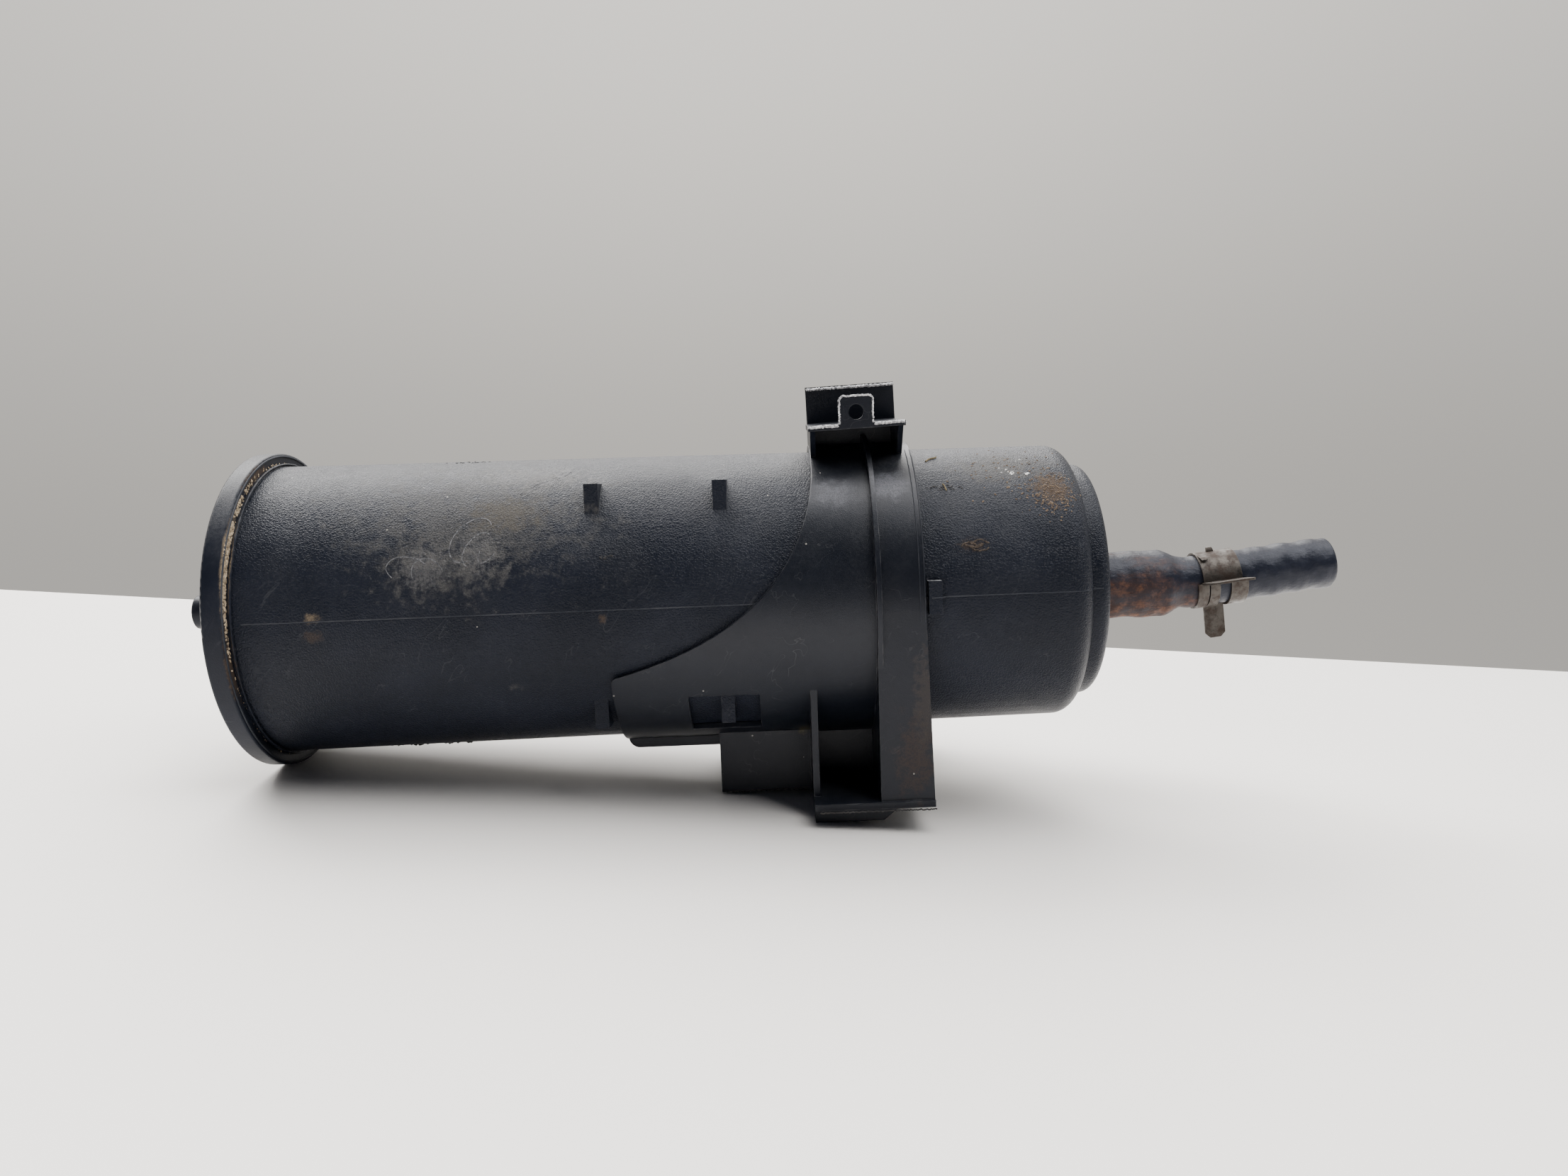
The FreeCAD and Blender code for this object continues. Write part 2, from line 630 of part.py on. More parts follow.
def radial_ear(x0, x1, angle, length, chamfer, tilt=0.0):
    """A flat ear standing out of the band at an angle from the front, leaning up by its tilt."""
    r0 = HOSE_R + CLAMP_FIT_GAP
    r1 = r0 + CLAMP_T + length
    outline = [(x0, r0), (x1, r0), (x1, r1 - chamfer), (x1 - chamfer, r1), (x0 + chamfer, r1), (x0, r1 - chamfer)]
    wire = Part.makePolygon([V(x, -CLAMP_T / 2, r) for x, r in outline + outline[:1]])
    ear = Part.Face(wire).extrude(V(0, CLAMP_T, 0))
    ear.rotate(V(0, 0, r0), ALONG, -tilt)
    ear.rotate(ORIGIN, ALONG, 90.0 - angle)
    return ear


def hose_clamp():
    """The one-piece spring band: a ring whose narrow tongue passes between two rails, with an ear at each end."""
    r_in = HOSE_R + CLAMP_FIT_GAP
    r_out = r_in + CLAMP_T
    wide_end = sector(-CLAMP_W / 2, CLAMP_W / 2, r_out, r_in, WIDE_LOW_ANGLE, EAR_ANGLE)
    band = sector(-CLAMP_TOP_W / 2, CLAMP_TOP_W / 2, r_out, r_in, EAR_ANGLE - 0.5, 360.5 + WIDE_LOW_ANGLE)
    ring = wide_end.fuse(band)
    tongue_x1 = TONGUE_X0 + TONGUE_W
    for x0, x1 in ((TONGUE_X0 - WINDOW_GAP_LEFT, TONGUE_X0), (tongue_x1, tongue_x1 + WINDOW_GAP_RIGHT)):
        ring = ring.cut(sector(x0, x1, r_out + 1, r_in - 1, TONGUE_EAR_ANGLE, EAR_ANGLE - 1.0))
    wide = radial_ear(-EAR_W / 2, EAR_W / 2, EAR_ANGLE, EAR_LEN, EAR_CHAMFER / 2, EAR_TILT)
    narrow_x0 = TONGUE_EAR_MID - TONGUE_EAR_W / 2
    narrow = radial_ear(narrow_x0, narrow_x0 + TONGUE_EAR_W, TONGUE_EAR_ANGLE, TONGUE_EAR_LEN, EAR_CHAMFER)
    return clamp_place(ring.fuse(wide).fuse(narrow))


def nodes():
    """Every sub-part by name."""
    made = {
        "canister_body": canister_body(),
        "end_cover": end_cover(),
        "vent_filter": tube(COVER_PLATE_T, COVER_PLATE_T + VENT_FILTER_T, VENT_FILTER_R, 0.5),
        "spring_plate": spring_plate(),
        "cover_foam": filling(COVER_FOAM_X, FOAM_T, PLATE_RIM_GAP),
        "cover_fleece": filling(COVER_FLEECE_X, FLEECE_T, PLATE_RIM_GAP),
        "carbon_bed": filling(CARBON_X, PORT_FLEECE_X - CARBON_X),
        "port_fleece": filling(PORT_FLEECE_X, FLEECE_T),
        "port_foam": filling(PORT_FOAM_X, FOAM_T),
        "port_grille": port_grille(),
        "mounting_bracket": mounting_bracket(),
        "hose_stub": hose_stub(),
        "hose_clamp": hose_clamp(),
    }
    for k, place in enumerate(spring_places()):
        made[f"pressure_spring_{k + 1}"] = spring(place)
    return made


def main():
    os.makedirs("parts", exist_ok=True)
    for name, shape in nodes().items():
        solids = shape.Solids
        print(f"{name}: valid {shape.isValid()}, solids {len(solids)}, volume {shape.Volume / 1000:.1f} cm3")
        shape = solids[0] if len(solids) == 1 else Part.makeCompound(solids)
        shape.exportStep(os.path.join("parts", f"{name}.step"))
    heading = hose_heading()
    print("clamp centre", bend_end() + heading * CLAMP_AT, "hose heading", heading)
    free = HOSE_LEN - HOSE_BEND_AT - HOSE_BEND_R * math.radians(HOSE_SLOPE)
    print("hose mouth", bend_end() + heading * free, "straight bore", free, "bend radius", HOSE_BEND_R)


main()
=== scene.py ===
"""Looks of a fuel-vapour charcoal canister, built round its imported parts.

The drum, cover, bracket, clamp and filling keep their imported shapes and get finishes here. The hose
is made again with its wound surface and rust, and the drum, bracket and clamp get the small raised
lines, flash and dirt that a used moulding carries. Everything is in metres, in the frame of the
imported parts: X runs along the drum from the cover to the hose, Z is up, and the near side is -Y.
"""

import json
import logging
import math
import random
from dataclasses import dataclass
from enum import Enum
from typing import Callable, Dict, List, Optional, Sequence, Tuple

import bmesh
import bpy
from mathutils import Matrix, Vector, noise
from mathutils.bvhtree import BVHTree


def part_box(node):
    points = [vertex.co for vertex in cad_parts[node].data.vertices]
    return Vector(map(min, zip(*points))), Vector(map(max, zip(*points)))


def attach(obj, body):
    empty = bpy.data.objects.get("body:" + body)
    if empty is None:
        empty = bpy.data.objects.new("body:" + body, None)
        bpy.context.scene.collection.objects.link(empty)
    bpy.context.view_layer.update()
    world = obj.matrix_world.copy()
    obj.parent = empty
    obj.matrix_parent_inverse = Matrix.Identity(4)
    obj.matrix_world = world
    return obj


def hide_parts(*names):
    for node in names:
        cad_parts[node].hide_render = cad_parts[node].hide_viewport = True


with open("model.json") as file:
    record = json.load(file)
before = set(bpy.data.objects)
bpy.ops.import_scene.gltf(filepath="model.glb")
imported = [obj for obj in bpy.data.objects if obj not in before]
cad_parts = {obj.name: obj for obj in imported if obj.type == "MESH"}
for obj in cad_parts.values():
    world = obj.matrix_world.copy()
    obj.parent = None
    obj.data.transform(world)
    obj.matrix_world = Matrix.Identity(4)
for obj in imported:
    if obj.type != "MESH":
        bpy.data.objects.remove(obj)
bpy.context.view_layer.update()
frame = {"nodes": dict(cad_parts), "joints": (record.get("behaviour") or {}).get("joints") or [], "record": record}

log = logging.getLogger("canister")

Colour = Tuple[float, float, float, float]
Ring = List[Vector]

SENSOR_WIDTH = 36.0
LENS = 26.04
CAMERA_PLACE = (0.1884, -0.4180, 0.0708)
CAMERA_RIGHT = (0.99924, -0.00843, -0.03802)
CAMERA_UP = (0.03889, 0.16555, 0.98544)
LAMP_AIM = (0.18, 0.0, 0.0)
TABLE_ENDS = (-2.2, 2.4)
TABLE_NEAR = -1.6
TABLE_EDGE_R = 0.004
TABLE_EDGE_DROP = 0.03
WELD_BEAD_R = 0.0534
WELD_BEAD_SIZE = 0.00042
CLAMP_BAND_R = 0.0103


class Body(Enum):
    """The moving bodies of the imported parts."""

    CANISTER = "canister"
    PACK = "pressure_pack"
    HOSE = "hose"
    CLAMP = "clamp"


class Slot(Enum):
    """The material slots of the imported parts."""

    DRUM = "drum_plastic"
    BRACKET = "bracket_plastic"
    INNER = "inner_plastic"
    RUBBER = "hose_rubber"
    CLAMP = "clamp_steel"
    SPRING = "spring_steel"
    FOAM = "filter_foam"
    FLEECE = "fleece"
    CARBON = "carbon"


class Side(Enum):
    """A side of the drum, as the sign of the angle that its parting line stands above the middle."""

    NEAR = 1
    FAR = -1


# --------------------------------------------------------------------------------------------------
# Node graphs
# --------------------------------------------------------------------------------------------------


class Graph:
    """Short hand for building one shader node tree."""

    def __init__(self, tree: bpy.types.NodeTree) -> None:
        """Keeps the tree that the nodes go in."""
        self.tree = tree

    def set_input(self, node: bpy.types.Node, key, value) -> None:
        """Gives one input a value, or joins an output to it.

        Args:
            node: The node whose input it is.
            key: The input's name or number.
            value: A number, a tuple or an output socket.
        """
        socket = node.inputs[key]
        if isinstance(value, bpy.types.NodeSocket):
            self.tree.links.new(value, socket)
        else:
            socket.default_value = value

    def add(self, kind: str, inputs: Optional[dict] = None, **settings) -> bpy.types.Node:
        """Makes a node.

        Args:
            kind: The node's type, without "ShaderNode".
            inputs: Values and joins by input name or number.
            settings: The node's own properties.

        Returns:
            The new node.
        """
        node = self.tree.nodes.new("ShaderNode" + kind)
        for key, value in settings.items():
            setattr(node, key, value)
        for key, value in (inputs or {}).items():
            self.set_input(node, key, value)
        return node

    def math(self, operation: str, *values) -> bpy.types.NodeSocket:
        """A Math node's result for up to three values."""
        node = self.add("Math", dict(enumerate(values)), operation=operation)
        return node.outputs[0]

    def vector(self, operation: str, *values) -> bpy.types.Node:
        """A Vector Math node for its values."""
        return self.add("VectorMath", dict(enumerate(values)), operation=operation)

    def ramp(self, value, low: float, high: float, to_low: float = 0.0, to_high: float = 1.0):
        """A value mapped smoothly from one range to another.

        Args:
            value: The value's socket.
            low: Where the ramp starts.
            high: Where it ends.
            to_low: The result at its start.
            to_high: The result at its end.

        Returns:
            The result's socket.
        """
        inputs = {"Value": value, "From Min": low, "From Max": high, "To Min": to_low, "To Max": to_high}
        return self.add("MapRange", inputs, interpolation_type="SMOOTHSTEP").outputs["Result"]

    def noise(self, place, scale, detail: float = 3.0, rough: float = 0.55, twist: float = 0.0):
        """Fractal noise from 0 to 1 at a place."""
        inputs = {"Vector": place, "Scale": scale, "Detail": detail, "Roughness": rough, "Distortion": twist}
        return self.add("TexNoise", inputs).outputs["Fac"]

    def blend(self, share, first, second, kind: str = "MIX") -> bpy.types.NodeSocket:
        """Two colours mixed by a share."""
        node = self.add("Mix", data_type="RGBA", blend_type=kind)
        for key, value in ((0, share), (6, first), (7, second)):
            self.set_input(node, key, value)
        return node.outputs[2]

    def group(self, tree: bpy.types.NodeTree, **inputs) -> bpy.types.Node:
        """Places a shared effect.

        Args:
            tree: The effect's tree.
            inputs: Its values and joins, with _ for a space.

        Returns:
            The group node.
        """
        node = self.add("Group")
        node.node_tree = tree
        for key, value in inputs.items():
            self.set_input(node, key.replace("_", " "), value)
        return node


class Effects:
    """The shared effects, each built once as a node group."""

    def __init__(self) -> None:
        """Builds every effect."""
        self.soft_edge = self._soft_edge()
        self.moulded_grain = self._moulded_grain()
        self.settled_dust = self._settled_dust()
        self.stain_or_sheen = self._stain()
        self.hairline_scratches = self._hairline_scratches()
        self.specks = self._specks()

    @staticmethod
    def _tree(name: str, inputs: Sequence[Tuple[str, str, object]], outputs: Sequence[Tuple[str, str]]):
        """A new group with its sockets.

        Args:
            name: The group's name.
            inputs: Name, kind and first value of each input.
            outputs: Name and kind of each output.

        Returns:
            The graph, the group's input node and its output node.
        """
        tree = bpy.data.node_groups.new(name, "ShaderNodeTree")
        for label, kind, value in inputs:
            socket = tree.interface.new_socket(name=label, in_out="INPUT", socket_type="NodeSocket" + kind)
            if value is not None:
                socket.default_value = value
        for label, kind in outputs:
            tree.interface.new_socket(name=label, in_out="OUTPUT", socket_type="NodeSocket" + kind)
        return Graph(tree), tree.nodes.new("NodeGroupInput"), tree.nodes.new("NodeGroupOutput")

    def _soft_edge(self) -> bpy.types.NodeTree:
        """Rounds sharp edges and finds where they are."""
        graph, given, result = self._tree(
            "soft edge",
            (("Radius", "Float", 0.0005), ("Reach", "Float", 0.3)),
            (("Normal", "Vector"), ("Edge", "Float")),
        )
        rounded = graph.add("Bevel", {"Radius": given.outputs["Radius"]}, samples=6)
        facing = graph.vector("DOT_PRODUCT", rounded.outputs[0], graph.add("NewGeometry").outputs["Normal"])
        turned = graph.math("SUBTRACT", 1.0, facing.outputs["Value"])
        share = graph.math("DIVIDE", turned, given.outputs["Reach"])
        edge = graph.add("Clamp", {"Value": share}).outputs[0]
        graph.set_input(result, "Normal", rounded.outputs[0])
        graph.set_input(result, "Edge", edge)
        return graph.tree

    def _moulded_grain(self) -> bpy.types.NodeTree:
        """The leather-like grain of a moulding, as a height from 0 to 1."""
        graph, given, result = self._tree(
            "moulded grain",
            (("Vector", "Vector", None), ("Scale", "Float", 900.0)),
            (("Height", "Float"),),
        )
        place, scale = given.outputs["Vector"], given.outputs["Scale"]
        drift = graph.add("TexNoise", {"Vector": place, "Scale": scale, "Detail": 1.0}).outputs["Color"]
        pushed = graph.vector("SUBTRACT", drift, (0.5, 0.5, 0.5)).outputs["Vector"]
        pushed = graph.vector("SCALE", pushed)
        graph.set_input(pushed, "Scale", 0.0009)
        moved = graph.vector("ADD", place, pushed.outputs["Vector"]).outputs["Vector"]
        pebbles = graph.add("TexVoronoi", {"Vector": moved, "Scale": scale}, feature="DISTANCE_TO_EDGE")
        crease = graph.ramp(pebbles.outputs["Distance"], 0.0, 0.28)
        lumps = graph.noise(place, graph.math("MULTIPLY", scale, 0.55), 2.0, 0.5)
        fine = graph.noise(place, graph.math("MULTIPLY", scale, 3.1), 2.0, 0.6)
        height = graph.math("MULTIPLY_ADD", lumps, 0.55, graph.math("MULTIPLY", crease, 0.5))
        height = graph.math("MULTIPLY_ADD", fine, 0.18, height)
        graph.set_input(result, "Height", height)
        return graph.tree

    def _settled_dust(self) -> bpy.types.NodeTree:
        """Dust that lies on upper faces, broken up by noise."""
        graph, given, result = self._tree(
            "settled dust",
            (("Vector", "Vector", None), ("Scale", "Float", 60.0), ("Amount", "Float", 0.5)),
            (("Mask", "Float"),),
        )
        up = graph.add("SeparateXYZ", {0: graph.add("NewGeometry").outputs["Normal"]}).outputs["Z"]
        level = graph.ramp(up, -0.15, 0.95)
        broad = graph.noise(given.outputs["Vector"], given.outputs["Scale"], 5.0, 0.62)
        grit = graph.noise(given.outputs["Vector"], graph.math("MULTIPLY", given.outputs["Scale"], 22.0), 2.0)
        mask = graph.math("MULTIPLY", graph.ramp(broad, 0.38, 0.72), graph.ramp(grit, 0.3, 0.7, 0.35, 1.0))
        mask = graph.math("MULTIPLY", graph.math("MULTIPLY", mask, level), given.outputs["Amount"])
        graph.set_input(result, "Mask", mask)
        return graph.tree

    def _stain(self) -> bpy.types.NodeTree:
        """A blotch round one place, ragged at its edge."""
        graph, given, result = self._tree(
            "stain_or_sheen",
            (
                ("Vector", "Vector", None),
                ("Centre", "Vector", None),
                ("Reach", "Vector", (0.01, 0.01, 0.01)),
                ("Break up", "Float", 300.0),
                ("Raggedness", "Float", 0.6),
            ),
            (("Mask", "Float"),),
        )
        away = graph.vector("SUBTRACT", given.outputs["Vector"], given.outputs["Centre"]).outputs["Vector"]
        away = graph.vector("DIVIDE", away, given.outputs["Reach"]).outputs["Vector"]
        length = graph.vector("LENGTH", away).outputs["Value"]
        ragged = graph.noise(given.outputs["Vector"], given.outputs["Break up"], 5.0, 0.65)
        ragged = graph.math("MULTIPLY", graph.math("SUBTRACT", ragged, 0.5), given.outputs["Raggedness"])
        near = graph.math("SUBTRACT", 1.0, graph.math("MULTIPLY_ADD", ragged, 2.6, length))
        graph.set_input(result, "Mask", graph.ramp(near, 0.0, 0.75))
        return graph.tree

    def _hairline_scratches(self) -> bpy.types.NodeTree:
        """Fine pale rub marks that run along one direction."""
        graph, given, result = self._tree(
            "hairline scratches",
            (("Vector", "Vector", None), ("Turn", "Vector", None), ("Width", "Float", 0.006)),
            (("Mask", "Float"),),
        )
        place = graph.add("VectorRotate", {"Vector": given.outputs["Vector"]}, rotation_type="EULER_XYZ")
        graph.set_input(place, "Rotation", given.outputs["Turn"])
        long_way = graph.vector("MULTIPLY", place.outputs[0], (22.0, 130.0, 130.0)).outputs["Vector"]
        waves = graph.noise(long_way, 1.0, 2.5, 0.5, 0.4)
        offset = graph.math("ABSOLUTE", graph.math("SUBTRACT", waves, 0.5))
        line = graph.math("LESS_THAN", offset, given.outputs["Width"])
        patchy = graph.ramp(graph.noise(given.outputs["Vector"], 75.0, 3.0), 0.45, 0.68)
        graph.set_input(result, "Mask", graph.math("MULTIPLY", line, patchy))
        return graph.tree

    def _specks(self) -> bpy.types.NodeTree:
        """Sparse small dots."""
        graph, given, result = self._tree(
            "specks",
            (
                ("Vector", "Vector", None),
                ("Scale", "Float", 250.0),
                ("Size", "Float", 0.16),
                ("Share", "Float", 0.1),
            ),
            (("Mask", "Float"),),
        )
        cells = graph.add("TexVoronoi", {"Vector": given.outputs["Vector"], "Scale": given.outputs["Scale"]})
        chance = graph.add("SeparateColor", {0: cells.outputs["Color"]}).outputs[0]
        chosen = graph.math("LESS_THAN", chance, given.outputs["Share"])
        dot = graph.math("LESS_THAN", cells.outputs["Distance"], given.outputs["Size"])
        graph.set_input(result, "Mask", graph.math("MULTIPLY", chosen, dot))
        return graph.tree


# --------------------------------------------------------------------------------------------------
# Finishes
# --------------------------------------------------------------------------------------------------


@dataclass(frozen=True)
class StainOrSheen:
    """One placed blotch of dirt or wear, or of painted sheen."""

    centre: Tuple[float, float, float]
    reach: Tuple[float, float, float]
    colour: Colour
    strength: float
    break_up: float = 300.0
    raggedness: float = 0.6
    rough: float = 0.9


@dataclass(frozen=True)
class Finish:
    """What every finish has: its name, and a new material with an empty Principled shader."""

    name: str

    def start(self) -> Tuple[bpy.types.Material, Graph, bpy.types.Node, bpy.types.NodeSocket]:
        """Opens a material.

        Returns:
            The material, its graph, its Principled node and the object coordinates.
        """
        material = bpy.data.materials.new(self.name)
        material.use_nodes = True
        graph = Graph(material.node_tree)
        shader = material.node_tree.nodes["Principled BSDF"]
        place = graph.add("TexCoord").outputs["Object"]
        return material, graph, shader, place


@dataclass(frozen=True)
class MouldedPlastic(Finish):
    """Black moulded plastic with grain, soft pale edges that are partly wear and partly painted edge highlight,
    dust, rub marks, and placed blotches of dirt and of painted sheen.
    """

    colour: Colour = (0.0062, 0.0082, 0.0142, 1.0)
    faded: Colour = (0.0105, 0.013, 0.0215, 1.0)
    rough: float = 0.34
    rough_spread: float = 0.12
    specular: float = 0.17
    grain_scale: float = 1050.0
    grain_depth: float = 0.00032
    grain_strength: float = 0.62
    edge_radius: float = 0.0004
    # Pale colour laid on rounded edges: partly wear, partly painted edge highlight.
    edge_wear_and_highlight_colour: Colour = (0.16, 0.16, 0.165, 1.0)
    edge_wear_and_highlight_share: float = 0.35
    dust_colour: Colour = (0.19, 0.19, 0.195, 1.0)
    dust_amount: float = 0.13
    scratch_colour: Colour = (0.3, 0.3, 0.31, 1.0)
    scratch_share: float = 0.05
    scratch_turn: Tuple[float, float, float] = (0.5, 0.9, 0.3)
    speck_share: float = 0.02
    stains_and_sheen: Tuple[StainOrSheen, ...] = ()

    def build(self, effects: Effects) -> bpy.types.Material:
        """Makes the material.

        Args:
            effects: The shared effects.

        Returns:
            The material.
        """
        material, graph, shader, place = self.start()
        soft = graph.group(effects.soft_edge, Radius=self.edge_radius, Reach=0.22)
        patch = graph.ramp(graph.noise(place, 26.0, 4.0, 0.6), 0.35, 0.7)
        colour = graph.blend(patch, self.colour, self.faded)
        rough = graph.math("MULTIPLY_ADD", graph.noise(place, 140.0, 4.0), self.rough_spread, self.rough)
        worn = graph.ramp(graph.noise(place, 190.0, 3.0), 0.45, 0.7)
        # Pale edges broken up by noise: partly wear, partly painted edge highlight.
        edge = graph.math("MULTIPLY", graph.math("MULTIPLY", soft.outputs["Edge"], worn), self.edge_wear_and_highlight_share)
        colour = graph.blend(edge, colour, self.edge_wear_and_highlight_colour)
        scratch = graph.group(effects.hairline_scratches, Vector=place, Turn=self.scratch_turn, Width=0.005)
        share = graph.math("MULTIPLY", scratch.outputs["Mask"], self.scratch_share)
        colour = graph.blend(share, colour, self.scratch_colour)
        dust = graph.group(effects.settled_dust, Vector=place, Scale=38.0, Amount=self.dust_amount)
        colour = graph.blend(dust.outputs["Mask"], colour, self.dust_colour)
        rough = graph.math("MULTIPLY_ADD", dust.outputs["Mask"], 0.35, rough)
        # Placed blotches: dirt and wear, and on the bracket also pale painted sheen where its collar catches
        # light.
        for stain_or_sheen in self.stains_and_sheen:
            mask = graph.group(
                effects.stain_or_sheen,
                Vector=place,
                Centre=stain_or_sheen.centre,
                Reach=stain_or_sheen.reach,
                Break_up=stain_or_sheen.break_up,
                Raggedness=stain_or_sheen.raggedness,
            )
            grit = graph.ramp(graph.noise(place, stain_or_sheen.break_up * 7.0, 3.0, 0.65), 0.3, 0.62, 0.25, 1.0)
            share = graph.math("MULTIPLY", graph.math("MULTIPLY", mask.outputs["Mask"], grit), stain_or_sheen.strength)
            colour = graph.blend(share, colour, stain_or_sheen.colour)
            rough = graph.blend(share, rough, (stain_or_sheen.rough,) * 3 + (1.0,))
        dots = graph.group(effects.specks, Vector=place, Scale=330.0, Size=0.1, Share=self.speck_share)
        colour = graph.blend(dots.outputs["Mask"], colour, (0.26, 0.25, 0.23, 1.0))
        grain = graph.group(effects.moulded_grain, Vector=place, Scale=self.grain_scale)
        waves = graph.noise(place, 55.0, 2.0)
        height = graph.math("MULTIPLY_ADD", waves, 0.8, grain.outputs["Height"])
        bump = graph.add(
            "Bump",
            {
                "Height": height,
                "Normal": soft.outputs["Normal"],
                "Strength": self.grain_strength,
                "Distance": self.grain_depth,
            },
        )
        graph.set_input(shader, "Base Color", colour)
        graph.set_input(shader, "Roughness", rough)
        graph.set_input(shader, "Normal", bump.outputs[0])
        shader.inputs["Specular IOR Level"].default_value = self.specular
        shader.inputs["Specular Tint"].default_value = (0.94, 0.95, 1.0, 1.0)
        return material


@dataclass(frozen=True)
class AgedRubber(Finish):
    """Black hose rubber with fine cracks, and rust that has run on to it near its fitting."""

    colour: Colour = (0.0075, 0.0095, 0.0175, 1.0)
    chalk: Colour = (0.02, 0.0225, 0.034, 1.0)
    rust: Colour = (0.042, 0.02, 0.014, 1.0)
    rust_pale: Colour = (0.19, 0.082, 0.04, 1.0)
    rust_from: float = 0.312
    rust_to: float = 0.395
    under_z: float = -0.001
    dark_to: float = 0.3058

    def build(self, effects: Effects) -> bpy.types.Material:
        """Makes the material.

        Args:
            effects: The shared effects; not used.

        Returns:
            The material.
        """
        material, graph, shader, place = self.start()
        parts = graph.add("SeparateXYZ", {0: place})
        lengthways = graph.vector("MULTIPLY", place, (0.35, 1.0, 1.0)).outputs["Vector"]
        cloud = graph.noise(lengthways, 95.0, 7.0, 0.7)
        chalky = graph.ramp(graph.noise(place, 260.0, 5.0, 0.65), 0.42, 0.75)
        colour = graph.blend(graph.math("MULTIPLY", chalky, 0.65), self.colour, self.chalk)
        along = graph.ramp(parts.outputs["X"], self.rust_from, self.rust_to, 1.0, 0.0)
        under = graph.ramp(parts.outputs["Z"], self.under_z - 0.012, self.under_z + 0.012, 1.0, 0.45)
        reach = graph.math("MULTIPLY", along, under)
        share = graph.math("MULTIPLY_ADD", reach, 0.42, graph.math("MULTIPLY", cloud, 0.85))
        # No rust over the first stretch at the port, so the black rubber shows as a dark band there: partly the
        # hose's own band, partly painted shade for the shadow in the gap at the port.
        collar = graph.ramp(parts.outputs["X"], self.dark_to - 0.0012, self.dark_to)
        mask = graph.math("MULTIPLY", graph.ramp(share, 0.6, 0.86), graph.math("MULTIPLY", collar, along))
        rust_flecks = graph.ramp(graph.noise(place, 300.0, 5.0, 0.7), 0.42, 0.7)
        tone = graph.blend(rust_flecks, self.rust, self.rust_pale)
        colour = graph.blend(graph.math("MULTIPLY", mask, 0.86), colour, tone)
        pits = graph.noise(place, 900.0, 4.0, 0.7)
        lumps = graph.noise(lengthways, 160.0, 4.0, 0.6)
        height = graph.math("MULTIPLY_ADD", lumps, 1.6, pits)
        bump = graph.add("Bump", {"Height": height, "Strength": 0.6, "Distance": 0.0003})
        graph.set_input(shader, "Base Color", colour)
        clean_rough = graph.math("MULTIPLY_ADD", cloud, 0.2, 0.3)
        graph.set_input(shader, "Roughness", graph.math("MULTIPLY_ADD", mask, 0.35, clean_rough))
        graph.set_input(shader, "Normal", bump.outputs[0])
        shader.inputs["Specular IOR Level"].default_value = 0.27
        shader.inputs["Specular Tint"].default_value = (0.9, 0.92, 1.0, 1.0)
        return material


@dataclass(frozen=True)
class RustySteel(Finish):
    """Dull plated steel strip, browned by rust with brighter rubbed edges."""

    plating: Colour = (0.066, 0.058, 0.05, 1.0)
    rust: Colour = (0.036, 0.022, 0.015, 1.0)
    dark: Colour = (0.016, 0.013, 0.011, 1.0)
    rubbed: Colour = (0.26, 0.245, 0.23, 1.0)

    def build(self, effects: Effects) -> bpy.types.Material:
        """Makes the material.

        Args:
            effects: The shared effects.

        Returns:
            The material.
        """
        material, graph, shader, place = self.start()
        soft = graph.group(effects.soft_edge, Radius=0.00022, Reach=0.3)
        cloud = graph.noise(place, 240.0, 6.0, 0.68)
        rusty = graph.ramp(cloud, 0.4, 0.62)
        colour = graph.blend(rusty, self.plating, self.rust)
        pits = graph.ramp(graph.noise(place, 620.0, 4.0, 0.7), 0.52, 0.7)
        colour = graph.blend(graph.math("MULTIPLY", pits, 0.75), colour, self.dark)
        worn = graph.math("MULTIPLY", soft.outputs["Edge"], graph.ramp(cloud, 0.3, 0.55, 1.0, 0.35))
        colour = graph.blend(graph.math("MULTIPLY", worn, 0.75), colour, self.rubbed)
        height = graph.noise(place, 700.0, 5.0, 0.7)
        bump = graph.add(
            "Bump", {"Height": height, "Normal": soft.outputs["Normal"], "Strength": 0.6, "Distance": 0.0002}
        )
        graph.set_input(shader, "Base Color", colour)
        graph.set_input(shader, "Metallic", graph.ramp(cloud, 0.4, 0.62, 0.5, 0.1))
        graph.set_input(shader, "Roughness", graph.ramp(cloud, 0.35, 0.65, 0.36, 0.78))
        graph.set_input(shader, "Normal", bump.outputs[0])
        return material


@dataclass(frozen=True)
class DrawnWire(Finish):
    """Bright drawn spring wire with faint die lines."""

    colour: Colour = (0.42, 0.42, 0.43, 1.0)

    def build(self, effects: Effects) -> bpy.types.Material:
        """Makes the material."""
        material, graph, shader, place = self.start()
        lines = graph.noise(place, 1500.0, 3.0, 0.6)
        dull = graph.ramp(graph.noise(place, 130.0, 3.0), 0.35, 0.7)
        graph.set_input(shader, "Base Color", graph.blend(dull, self.colour, (0.3, 0.29, 0.28, 1.0)))
        graph.set_input(shader, "Roughness", graph.ramp(lines, 0.3, 0.7, 0.26, 0.44))
        bump = graph.add("Bump", {"Height": lines, "Strength": 0.2, "Distance": 0.00005})
        graph.set_input(shader, "Normal", bump.outputs[0])
        shader.inputs["Metallic"].default_value = 1.0
        return material


class FillKind(Enum):
    """The kinds of filling in the drum."""

    FOAM = "open foam"
    FLEECE = "needled fleece"
    CARBON = "carbon pellets"


